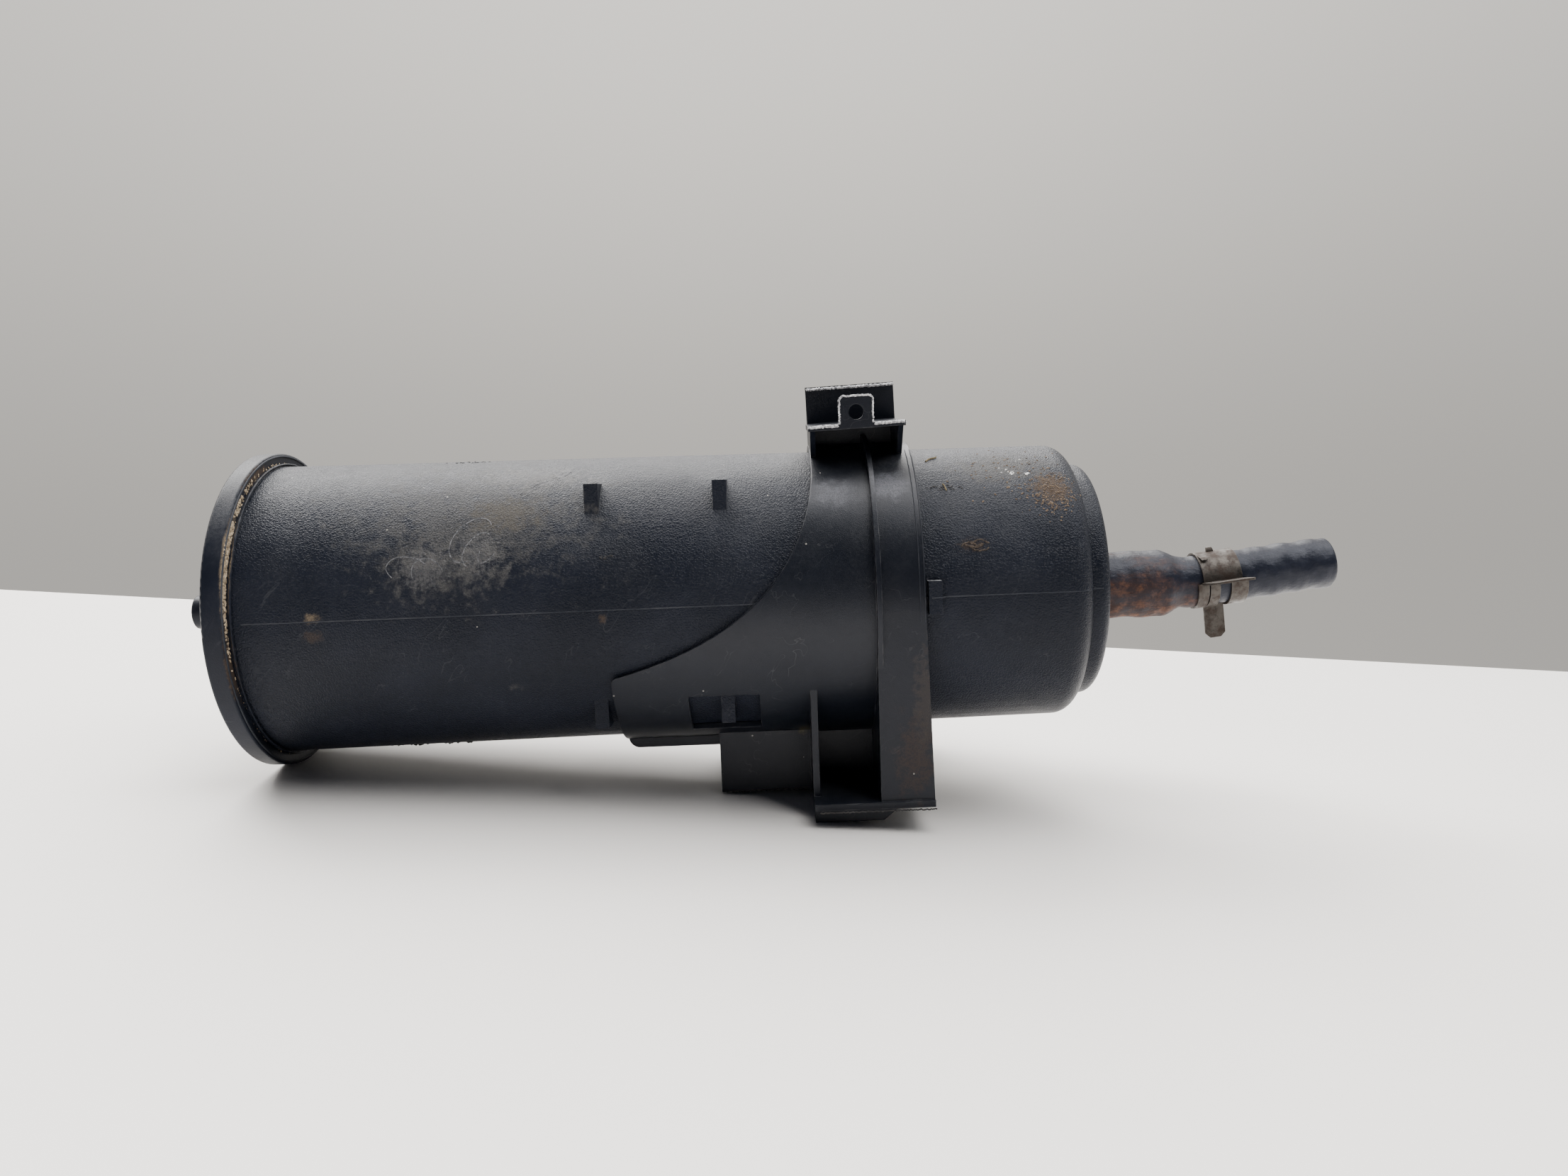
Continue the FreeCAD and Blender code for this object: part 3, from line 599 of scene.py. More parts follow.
@dataclass(frozen=True)
class Filling(Finish):
    """Foam, fleece or carbon, each as cells, fibres or pellets of its own size."""

    kind: FillKind = FillKind.FOAM
    light: Colour = (0.2, 0.2, 0.2, 1.0)
    dark: Colour = (0.02, 0.02, 0.02, 1.0)
    scale: float = 800.0
    depth: float = 0.0004

    def build(self, effects: Effects) -> bpy.types.Material:
        """Makes the material.

        Args:
            effects: The shared effects.

        Returns:
            The material.
        """
        material, graph, shader, place = self.start()
        if self.kind is FillKind.FLEECE:
            stretched = graph.vector("MULTIPLY", place, (0.25, 1.0, 0.12)).outputs["Vector"]
            fibres = graph.noise(stretched, self.scale, 5.0, 0.7, 0.6)
            height = graph.math("MULTIPLY_ADD", graph.noise(place, self.scale * 0.6, 3.0), 0.5, fibres)
        elif self.kind is FillKind.CARBON:
            cells = graph.add("TexVoronoi", {"Vector": place, "Scale": self.scale}, feature="F1")
            height = graph.math("SUBTRACT", 1.0, cells.outputs["Distance"])
        else:
            cells = graph.add(
                "TexVoronoi", {"Vector": place, "Scale": self.scale}, feature="DISTANCE_TO_EDGE"
            )
            height = graph.ramp(cells.outputs["Distance"], 0.03, 0.22, 1.0, 0.0)
        shade = graph.ramp(height, 0.25, 0.85)
        dusty = graph.group(effects.settled_dust, Vector=place, Scale=90.0, Amount=0.2)
        colour = graph.blend(dusty.outputs["Mask"], graph.blend(shade, self.dark, self.light), self.light)
        bump = graph.add("Bump", {"Height": height, "Strength": 0.9, "Distance": self.depth})
        graph.set_input(shader, "Base Color", colour)
        graph.set_input(shader, "Roughness", graph.ramp(shade, 0.0, 1.0, 0.95, 0.72))
        graph.set_input(shader, "Normal", bump.outputs[0])
        return material


@dataclass(frozen=True)
class Grit(Finish):
    """Dry soil, straw, torn flash or painted glint: matt, with tone that changes over a few tenths of a
    millimetre.
    """

    light: Colour = (0.4, 0.33, 0.24, 1.0)
    dark: Colour = (0.15, 0.115, 0.08, 1.0)
    scale: float = 500.0

    def build(self, effects: Effects) -> bpy.types.Material:
        """Makes the material."""
        material, graph, shader, place = self.start()
        tone = graph.noise(place, self.scale, 5.0, 0.7)
        bump = graph.add("Bump", {"Height": tone, "Strength": 0.8, "Distance": 0.0003})
        colour = graph.blend(graph.ramp(tone, 0.35, 0.65), self.dark, self.light)
        graph.set_input(shader, "Base Color", colour)
        graph.set_input(shader, "Roughness", graph.ramp(tone, 0.3, 0.7, 0.98, 0.85))
        graph.set_input(shader, "Normal", bump.outputs[0])
        return material


@dataclass(frozen=True)
class TableTop(Finish):
    """Pale matt laminate with a faint orange-peel surface."""

    colour: Colour = (0.91, 0.885, 0.86, 1.0)
    shade: Colour = (0.88, 0.855, 0.83, 1.0)

    def build(self, effects: Effects) -> bpy.types.Material:
        """Makes the material from the shared effects."""
        material, graph, shader, place = self.start()
        cloud = graph.noise(place, 3.0, 3.0)
        peel = graph.noise(place, 900.0, 2.0)
        bump = graph.add("Bump", {"Height": peel, "Strength": 0.1, "Distance": 0.0002})
        dots = graph.group(effects.specks, Vector=place, Scale=42.0, Size=0.045, Share=0.06)
        colour = graph.blend(graph.ramp(cloud, 0.3, 0.7), self.colour, self.shade)
        colour = graph.blend(dots.outputs["Mask"], colour, (0.25, 0.22, 0.2, 1.0))
        graph.set_input(shader, "Base Color", colour)
        graph.set_input(shader, "Roughness", graph.ramp(peel, 0.0, 1.0, 0.5, 0.62))
        graph.set_input(shader, "Normal", bump.outputs[0])
        shader.inputs["Specular IOR Level"].default_value = 0.35
        return material


# --------------------------------------------------------------------------------------------------
# Mesh work
# --------------------------------------------------------------------------------------------------


class Skin:
    """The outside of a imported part, which small pieces are laid on."""

    def __init__(self, node: str) -> None:
        """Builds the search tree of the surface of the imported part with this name."""
        mesh = frame["nodes"][node].data
        points = [vert.co.copy() for vert in mesh.vertices]
        self.tree = BVHTree.FromPolygons(points, [face.vertices[:] for face in mesh.polygons])

    @staticmethod
    def outward(angle: float) -> Vector:
        """The direction away from the drum's axis at an angle above the near side, in degrees."""
        turn = math.radians(angle)
        return Vector((0.0, -math.cos(turn), math.sin(turn)))

    def round_drum(self, x: float, angle: float) -> Tuple[Vector, Vector]:
        """The point seen from outside the drum at a place along it.

        Args:
            x: Distance along the drum.
            angle: Degrees above the near side.

        Returns:
            The surface point and its outward normal.
        """
        away = self.outward(angle)
        start = Vector((x, 0.0, 0.0)) + away * 0.2
        point, normal, _, _ = self.tree.ray_cast(start, -away)
        if point is None:
            return Vector((x, 0.0, 0.0)) + away * 0.05, away
        return point, normal if normal.dot(away) > 0 else -normal


class Workshop:
    """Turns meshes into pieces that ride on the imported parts."""

    def __init__(self, materials: Dict[str, bpy.types.Material]) -> None:
        """Keeps the finishes by name."""
        self.materials = materials

    def solid(
        self, name: str, mesh: bmesh.types.BMesh, finish: str, angle: float = 40.0
    ) -> bpy.types.Object:
        """Makes an object from a mesh.

        Args:
            name: The object's name.
            mesh: Its faces; it is freed here.
            finish: The finish's name.
            angle: Edges sharper than this many degrees stay sharp.

        Returns:
            The new object.
        """
        bmesh.ops.recalc_face_normals(mesh, faces=mesh.faces)
        data = bpy.data.meshes.new(name)
        mesh.to_mesh(data)
        mesh.free()
        data.shade_smooth()
        data.set_sharp_from_angle(angle=math.radians(angle))
        data.materials.append(self.materials[finish])
        made = bpy.data.objects.new(name, data)
        bpy.context.scene.collection.objects.link(made)
        return made

    def piece(
        self,
        name: str,
        mesh: bmesh.types.BMesh,
        finish: str,
        body: Body,
        slot: Slot,
        angle: float = 40.0,
    ) -> bpy.types.Object:
        """Makes a piece of the part from a mesh.

        Args:
            name: The piece's name.
            mesh: Its faces; it is freed here.
            finish: The finish's name.
            body: The body that it rides on.
            slot: Not used.
            angle: Edges sharper than this many degrees stay sharp.

        Returns:
            The new object.
        """
        made = self.solid(name, mesh, finish, angle)
        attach(made, body.value)
        log.info("%s: %d faces on %s", name, len(made.data.polygons), body.value)
        return made

    def dress(self, node: str, finish: str) -> None:
        """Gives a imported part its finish."""
        slots = frame["nodes"][node].material_slots
        for slot in slots:
            slot.material = self.materials[finish]
        log.info("%s: dressed in %s", node, finish)


def loft(mesh: bmesh.types.BMesh, rings: Sequence[Ring], closed: bool = True, capped: bool = True) -> None:
    """Joins rings of points with faces.

    Args:
        mesh: The mesh that they go in.
        rings: Rings with the same number of points.
        closed: Whether each ring joins its own ends.
        capped: Whether the first and last ring are filled.
    """
    made = [[mesh.verts.new(point) for point in ring] for ring in rings]
    count = len(made[0])
    for low, high in zip(made, made[1:]):
        for k in range(count if closed else count - 1):
            after = (k + 1) % count
            mesh.faces.new((low[k], low[after], high[after], high[k]))
    if capped:
        mesh.faces.new(list(reversed(made[0])))
        mesh.faces.new(made[-1])


def raised_line(
    mesh: bmesh.types.BMesh,
    places: Sequence[Tuple[Vector, Vector]],
    width: float,
    height: Callable[[float], float],
    sunk: float = 0.0001,
) -> None:
    """Lays a fine rounded ridge along places on a surface.

    Args:
        mesh: The mesh that it goes in.
        places: Points and outward normals along the line.
        width: The ridge's width.
        height: Its height at a share of its length.
        sunk: How far its foot goes below the surface.
    """
    rings = []
    last = len(places) - 1
    for k, (point, normal) in enumerate(places):
        ahead = places[min(k + 1, last)][0] - places[max(k - 1, 0)][0]
        if ahead.length < 1e-9:
            ahead = Vector((1.0, 0.0, 0.0))
        side = normal.cross(ahead.normalized()).normalized()
        tall = height(k / last)
        shape = ((-0.5, -sunk), (-0.32, tall * 0.7), (0.0, tall), (0.32, tall * 0.7), (0.5, -sunk))
        rings.append([point + side * width * across + normal * up for across, up in shape])
    loft(mesh, rings)


def crumb(mesh: bmesh.types.BMesh, point: Vector, normal: Vector, size: Vector, draw: random.Random) -> None:
    """Adds one irregular lump that sits on a surface.

    Args:
        mesh: The mesh that it goes in.
        point: The surface point.
        normal: The surface's outward normal.
        size: Half its length, width and height.
        draw: The source of its shape.
    """
    turn = normal.to_track_quat("Z", "Y").to_matrix().to_4x4()
    spin = Matrix.Rotation(draw.uniform(0.0, math.tau), 4, "Z")
    scale = Matrix.Diagonal((size.x, size.y, size.z, 1.0))
    made = bmesh.ops.create_icosphere(mesh, subdivisions=2, radius=1.0)["verts"]
    seed = Vector((draw.uniform(-90.0, 90.0), draw.uniform(-90.0, 90.0), draw.uniform(-90.0, 90.0)))
    whole = Matrix.Translation(point) @ turn @ spin @ scale
    for vert in made:
        swell = 1.0 + 0.42 * noise.noise(vert.co * 1.7 + seed)
        vert.co = whole @ (vert.co * swell)


def steps(first: float, last: float, count: int) -> List[float]:
    """Evenly spaced values from first to last, both included."""
    return [first + (last - first) * k / (count - 1) for k in range(count)]


# --------------------------------------------------------------------------------------------------
# Sub-assemblies
# --------------------------------------------------------------------------------------------------


@dataclass
class Drum:
    """The welded drum and its cover, with moulding lines, weld burrs and dirt."""

    shop: Workshop
    clocking: float = 4.5
    line_width: float = 0.0005
    line_height: float = 0.00013
    white_spots: Tuple[Tuple[float, float, float, int], ...] = (
        (0.2690, 57.5, 0.00045, 12),
        (0.2742, 57.2, 0.0004, 12),
        (0.2662, 60.0, 0.0009, 5),
        (0.2728, 67.0, 0.0011, 4),
    )
    seed: int = 11

    def __post_init__(self) -> None:
        """Reads the places that the details are laid from."""
        self.body = Skin("canister_body")
        self.body_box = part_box("canister_body")
        self.cover_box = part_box("end_cover")
        self.bracket_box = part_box("mounting_bracket")
        self.face_x = self.body_box[0].x

    def build(self) -> None:
        """Makes every piece of the drum."""
        for node in ("canister_body", "end_cover"):
            self.shop.dress(node, "grained drum" if node == "canister_body" else "smooth cover")
        for side in Side:
            self.parting_line(side)
        self.cover_step()
        self.weld_bead()
        self.weld_burrs()
        self.cover_dirt()
        self.shoulder_dirt()
        self.rub_marks()
        self.snap_lug_glints()
        self.loose_bits()

    def parting_line(self, side: Side) -> None:
        """Makes the mould's parting line from the cover to the port, on one side of the drum.

        Args:
            side: The side of the drum that it runs down.
        """
        angle = self.clocking if side is Side.NEAR else 180.0 + self.clocking
        reach = self.body_box[1].x - self.face_x
        end = self.face_x + reach * 0.878
        places = [self.body.round_drum(x, angle) for x in steps(self.face_x + 0.004, end, 170)]
        places = [place for place in places if place[0].yz.length > 0.036]
        draw = random.Random(self.seed + side.value)
        breaks = [draw.uniform(0.55, 1.25) for _ in range(171)]
        mesh = bmesh.new()
        raised_line(mesh, places, self.line_width, lambda t: self.line_height * breaks[int(t * 169)])
        self.shop.piece(f"parting_line_{side.name.lower()}", mesh, "rubbed line", Body.CANISTER, Slot.DRUM)

    def cover_step(self) -> None:
        """Makes the fine step that runs round the cover's inner edge."""
        radius = self.cover_box[1].z - 0.0011
        mesh = bmesh.new()
        rings = []
        for k in range(181):
            turn = math.tau * k / 180
            out = Vector((0.0, -math.cos(turn), math.sin(turn)))
            ripple = 0.00004 * noise.noise(Vector((math.cos(turn) * 9.0, math.sin(turn) * 9.0, 0.0)))
            section = (
                (0.0, -0.0004),
                (0.0003 + ripple, -0.0003),
                (0.00034 + ripple, 0.0),
                (0.0002, 0.0003),
                (-0.0002, 0.0004),
            )
            rings.append([Vector((self.face_x + dx, 0.0, 0.0)) + out * (radius + dr) for dx, dr in section])
        loft(mesh, rings, capped=False)
        bmesh.ops.remove_doubles(mesh, verts=mesh.verts, dist=1e-6)
        self.shop.piece("cover_step", mesh, "rubbed line", Body.CANISTER, Slot.DRUM)

    def weld_bead(self) -> None:
        """Makes the uneven bead that the weld pressed out between the cover and the drum."""
        mesh = bmesh.new()
        rings = []
        for k in range(361):
            turn = math.tau * k / 360
            out = Vector((0.0, -math.cos(turn), math.sin(turn)))
            place = Vector((math.cos(turn) * 24.0, math.sin(turn) * 24.0, 1.3))
            swell = 1.0 + 0.55 * noise.noise(place) + 0.25 * noise.noise(place * 3.1)
            centre = Vector((self.face_x + 0.0012, 0.0, 0.0)) + out * WELD_BEAD_R
            size = WELD_BEAD_SIZE * swell
            ring = []
            for j in range(7):
                around = math.tau * j / 7
                along = Vector((math.cos(around) * size, 0.0, 0.0))
                ring.append(centre + along + out * math.sin(around) * size)
            rings.append(ring)
        loft(mesh, rings, capped=False)
        bmesh.ops.remove_doubles(mesh, verts=mesh.verts, dist=1e-6)
        self.shop.piece("weld_bead", mesh, "smooth cover", Body.CANISTER, Slot.DRUM)

    def weld_burrs(self) -> None:
        """Makes the torn burrs on the drum's underside near the cover."""
        draw = random.Random(self.seed + 5)
        mesh = bmesh.new()
        for first, last in ((0.040, 0.056), (0.0585, 0.066), (0.069, 0.0705)):
            count = 26
            heights = [draw.uniform(0.0001, 0.0011) for _ in range(count)]
            heights[0] = heights[-1] = 0.00005
            places = [
                self.body.round_drum(x, -81.0 + draw.uniform(-0.8, 0.8))
                for x in steps(first, last, count)
            ]
            raised_line(mesh, places, 0.0016, lambda t: heights[int(t * (count - 1))])
        self.shop.piece("weld_burrs", mesh, "torn plastic", Body.CANISTER, Slot.DRUM, 25.0)

    def cover_dirt(self) -> None:
        """Packs dry soil into the corner between the cover's flange and the drum."""
        draw = random.Random(self.seed + 9)
        mesh = bmesh.new()
        for _ in range(520):
            angle = draw.gauss(30.0, 24.0)
            if draw.random() < 0.25:
                angle = draw.uniform(-75.0, 255.0)
            out = Skin.outward(angle)
            near = max(0.0, 1.0 - abs(angle - 30.0) / 60.0)
            radius = draw.uniform(0.0529, 0.0539 + 0.0026 * near)
            point = Vector((self.face_x, 0.0, 0.0)) + out * radius
            size = draw.uniform(0.00012, 0.00028 + 0.00035 * near)
            crumb(mesh, point, Vector((1.0, 0.0, 0.0)), Vector((size * 1.6, size, size * 0.55)), draw)
        self.shop.piece("cover_dirt", mesh, "dry soil", Body.CANISTER, Slot.DRUM, 60.0)

    def shoulder_dirt(self) -> None:
        """Scatters soil and white grit over the drum's shoulder above the port."""
        draw = random.Random(self.seed + 21)
        soil, white = bmesh.new(), bmesh.new()
        for _ in range(420):
            x, angle = draw.gauss(0.281, 0.0042), draw.gauss(46.0, 5.5)
            if draw.random() < 0.3:
                x, angle = draw.gauss(0.268, 0.011), draw.gauss(62.0, 9.0)
            if not 0.24 < x < 0.2915:
                continue
            point, normal = self.body.round_drum(x, angle)
            size = draw.uniform(0.0001, 0.00034)
            crumb(soil, point, normal, Vector((size * 1.5, size, size * 0.5)), draw)
        for x, angle, spread, count in self.white_spots:
            for _ in range(count):
                along, climb = draw.gauss(0.0, spread), draw.gauss(0.0, spread * 900.0)
                point, normal = self.body.round_drum(x + along, angle + climb)
                size = draw.uniform(0.0001, 0.00034)
                crumb(white, point, normal, Vector((size * 1.4, size, size * 0.5)), draw)
        self.shop.piece("shoulder_soil", soil, "brown soil", Body.CANISTER, Slot.DRUM, 60.0)
        self.shop.piece("shoulder_grit", white, "white grit", Body.CANISTER, Slot.DRUM, 60.0)

    def rub_marks(self) -> None:
        """Makes the shallow curled rub marks across the drum's dusty patch, and the streak above them."""
        draw = random.Random(self.seed + 47)
        mesh = bmesh.new()
        loops = (
            (0.0858, 33.0, 0.0062, 9.0, 40.0, 290.0, 0.35),
            (0.0880, 29.0, 0.0040, 6.5, 60.0, 260.0, 0.4),
            (0.0655, 22.0, 0.0068, 5.0, 20.0, 215.0, -0.3),
            (0.0722, 20.0, 0.0052, 6.0, 15.0, 190.0, -0.2),
            (0.0930, 30.5, 0.0030, 7.0, 200.0, 330.0, 0.5),
        )
        for x, angle, half_x, half_angle, first, last, skew in loops:
            for shift in (0.0, 0.25):
                places = []
                for turn in steps(math.radians(first), math.radians(last), 34):
                    along = half_x * math.cos(turn) + draw.gauss(0.0, 0.00006)
                    climb = half_angle * math.sin(turn)
                    place_x = x + along + skew * climb * 0.0009
                    places.append(self.body.round_drum(place_x, angle + climb + shift))

                def uneven(t: float) -> float:
                    """The mark's height at a share of its length."""
                    return 0.00006 * (1.0 + noise.noise(Vector((t * 9.0, x * 400.0, 0.0))))

                raised_line(mesh, places, 0.00026, uneven)
        for k in range(26):
            t = k / 25
            x = 0.094 + 0.022 * t + draw.gauss(0.0, 0.0012)
            angle = 47.0 + 20.0 * t + draw.gauss(0.0, 1.3)
            run = draw.uniform(0.0004, 0.0016)
            places = [self.body.round_drum(x + run * u, angle + 900.0 * run * u) for u in steps(0.0, 1.0, 5)]
            raised_line(mesh, places, draw.uniform(0.00015, 0.0004), lambda t: 0.00008)
        self.shop.piece("rub_marks", mesh, "chalky rub", Body.CANISTER, Slot.DRUM, 60.0)

    def snap_lug_glints(self) -> None:
        """Makes fine raised lines along two edges of the snap lug beside the collar, in a pale finish that paints
        the glint of light on those edges.
        """
        mesh = bmesh.new()
        x0 = self.bracket_box[1].x - 0.0011
        for first, last in (((x0, 10.9), (x0 + 0.0045, 10.7)), ((x0, -1.6), (x0 + 0.0048, -1.7))):
            places = []
            for t in steps(0.0, 1.0, 9):
                x, angle = first[0] + (last[0] - first[0]) * t, first[1] + (last[1] - first[1]) * t
                point, normal = self.body.round_drum(x, angle)
                places.append((point, normal))
            raised_line(mesh, places, 0.00026, lambda t: 0.00012)
        # The pale finish on these ridges is painted glint.
        self.shop.piece("snap_lug_glint_ridges", mesh, "pale flash and glint", Body.CANISTER, Slot.DRUM, 60.0)

    def loose_bits(self) -> None:
        """Lays a bit of straw, dark chips and the raised lips of a gouge on the drum."""
        draw = random.Random(self.seed + 33)
        straw, chips = bmesh.new(), bmesh.new()
        for x, angle, run, climb in ((0.2405, 68.4, 0.0042, 4.4), (0.2446, 52.0, 0.001, -3.0)):
            places = []
            for t in steps(0.0, 1.0, 9):
                point, normal = self.body.round_drum(x + run * t, angle + climb * t + 0.5 * math.sin(t * 5.0))
                places.append((point + normal * 0.0001, normal))
            raised_line(straw, places, 0.00045, lambda t: 0.00035)
        heaps = ((0.2455, 50.2, 0.0028, 34), (0.0775, 86.5, 0.004, 30), (0.1309, 24.4, 0.0012, 12))
        for x, angle, half, count in heaps:
            for _ in range(count):
                place_x = x + draw.gauss(0.0, half)
                point, normal = self.body.round_drum(place_x, angle + draw.gauss(0.0, half * 320.0))
                size = draw.uniform(0.00008, 0.0003)
                crumb(chips, point, normal, Vector((size * 2.0, size, size * 0.8)), draw)
        gouge = bmesh.new()
        for k in range(5):
            places = []
            lift = draw.uniform(-1.3, 1.3)
            start = 0.2478 + draw.uniform(0.0, 0.004)
            for t in steps(0.0, 1.0, 14):
                x = start + t * draw.uniform(0.0056, 0.0064)
                bow = 1.6 * math.sin(t * math.pi) * (1 if k % 2 else -0.6)
                places.append(self.body.round_drum(x, 23.4 + lift + bow + draw.uniform(-0.2, 0.2)))
            heights = [draw.uniform(0.00005, 0.00032) for _ in range(14)]
            raised_line(gouge, places, 0.0006, lambda t: heights[int(t * 13)])
        self.shop.piece("loose_straw", straw, "straw", Body.CANISTER, Slot.DRUM)
        self.shop.piece("dark_chips", chips, "torn plastic", Body.CANISTER, Slot.DRUM, 60.0)
        self.shop.piece("gouge_lips", gouge, "gouged plastic", Body.CANISTER, Slot.DRUM, 30.0)


@dataclass
class Bracket:
    """The saddle bracket, with its edge lips and the torn flash round its clip pocket."""

    shop: Workshop
    lip_width: float = 0.0004
    lip_height: float = 0.00024
    pocket_half: float = 0.016
    pocket_tall: float = 0.0132
    pocket_tilt: float = 1.8
    ledge_side: float = 0.0005
    tab_half: float = 0.006
    tab_tall: float = 0.0096
    tab_corner: float = 0.002
    foot_box: Tuple[float, float, float, float] = (0.165, 0.196, -0.024, -0.0694)
    sole_z: float = -0.067
    seed: int = 71

    def __post_init__(self) -> None:
        """Reads the places that the details are laid from."""
        self.skin = Skin("mounting_bracket")
        self.low, self.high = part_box("mounting_bracket")
        self.collar_end = self.high.x - 0.002
        hole = next(m for m in frame["record"]["mounts"] if m["name"] == "clip_hole")
        self.pocket_mid = hole["pos_m"][0]
        self.slope = math.tan(math.radians(self.pocket_tilt))
        self.plate_top = self.high.z - self.pocket_half * self.slope
        self.ledge_top = self.plate_top - self.pocket_tall
        self.tab_front = -0.030

    def build(self) -> None:
        """Makes every piece of the bracket."""
        self.shop.dress("mounting_bracket", "satin bracket")
        self.collar_lips()
        self.pocket_flash()
        self.sole_flash()

    def collar_lips(self) -> None:
        """Makes the fine double lip round the collar's end, from the pocket down each side to the legs."""
        mesh = bmesh.new()
        for inset in (0.0003, 0.0019):
            for first, last in ((-4.0, 74.0), (106.0, 184.0)):
                places = [self.skin.round_drum(self.collar_end - inset, a) for a in steps(first, last, 70)]
                raised_line(mesh, places, self.lip_width, self.lip_at)
        self.shop.piece("collar_lips", mesh, "rubbed line", Body.CANISTER, Slot.BRACKET)

    def lip_at(self, t: float) -> float:
        """The lip's height at a share of its length; it fades out at both ends."""
        return self.lip_height * min(1.0, 9.0 * t, 9.0 * (1 - t))

    def at(self, x: float, y: float, z: float) -> Vector:
        """A point of the tilted pocket, from its place along, across and above the level pocket's middle."""
        return Vector((self.pocket_mid + x, y, z + x * self.slope))

    def tab_outline(self) -> List[Vector]:
        """The edge of the tab's face, up one side, round its corners and down the other."""
        inset = 0.0003
        half, corner = self.tab_half, self.tab_corner
        points = [self.at(inset - half, self.tab_front, self.ledge_top)]
        for start, centre_x in ((180.0, corner - half), (90.0, half - corner)):
            for step in range(5):
                turn = math.radians(start - 22.5 * step)
                x = centre_x + (corner - inset) * math.cos(turn)
                z = self.ledge_top + self.tab_tall - corner + (corner - inset) * math.sin(turn)
                points.append(self.at(x, self.tab_front, z))
        points.append(self.at(half - inset, self.tab_front, self.ledge_top))
        return points

    def strand(
        self,
        mesh: bmesh.types.BMesh,
        first: Vector,
        last: Vector,
        normal: Vector,
        draw: random.Random,
        size: float = 0.0004,
        width: float = 0.0005,
    ) -> None:
        """Lays one torn strand of flash along an edge.

        Args:
            mesh: The mesh that it goes in.
            first: One end of the edge.
            last: The other end.
            normal: The way it stands out.
            draw: The source of its raggedness.
            size: Its typical height.
            width: Its width.
        """
        count = max(5, int((last - first).length / 0.0004))
        heights = [abs(draw.gauss(size, size * 0.6)) for _ in range(count)]
        places = []
        for t in steps(0.0, 1.0, count):
            stray = Vector((draw.gauss(0, 1), draw.gauss(0, 1), draw.gauss(0, 1))) * 0.00008
            places.append((first.lerp(last, t) + stray, normal))
        raised_line(mesh, places, width, lambda t: heights[int(t * (count - 1))])

    def pocket_flash(self) -> None:
        """Makes the whitish torn flash on the pocket's plate, ledge and tab."""
        draw = random.Random(self.seed)
        mesh = bmesh.new()
        out, aside = Vector((0.0, -1.0, 0.0)), Vector((1.0, 0.0, 0.0))
        front, half = self.tab_front, self.pocket_half
        plate, ledge = self.plate_top - 0.0008, self.ledge_top - 0.00045
        wide = half + self.ledge_side
        edges = (
            ((0.0003 - half, -0.0001, plate), (half - 0.0002, -0.0001, plate), out, 0.0006, 0.001),
            ((-wide, front, ledge), (-0.0062, front, ledge), out, 0.0005, 0.001),
            ((0.0062, front, ledge), (wide, front, ledge), out, 0.0007, 0.001),
            ((wide, front, ledge - 0.0005), (wide, -0.004, ledge - 0.0005), aside, 0.0006, 0.0005),
        )
        for first, last, normal, size, width in edges:
            self.strand(mesh, self.at(*first), self.at(*last), normal, draw, size, width)
        outline = self.tab_outline()
        for first, last in zip(outline, outline[1:]):
            self.strand(mesh, first, last, out, draw, 0.00032, 0.0007)
        self.shop.piece("pocket_flash", mesh, "pale flash and glint", Body.CANISTER, Slot.BRACKET, 25.0)

    def sole_flash(self) -> None:
        """Makes the thin torn flash along the sole plate and the box's lower edge."""
        draw = random.Random(self.seed + 3)
        mesh = bmesh.new()
        out = Vector((0.0, -1.0, 0.0))
        x0, x1, y, z = self.foot_box
        first = Vector((0.1985, self.low.y, self.sole_z))
        last = Vector((self.high.x, self.low.y, self.sole_z))
        self.strand(mesh, first, last, out, draw, 0.00018)
        self.strand(mesh, Vector((x0, y, z)), Vector((x1, y, z)), out, draw, 0.0002)
        self.shop.piece("sole_flash", mesh, "torn plastic", Body.CANISTER, Slot.BRACKET, 25.0)


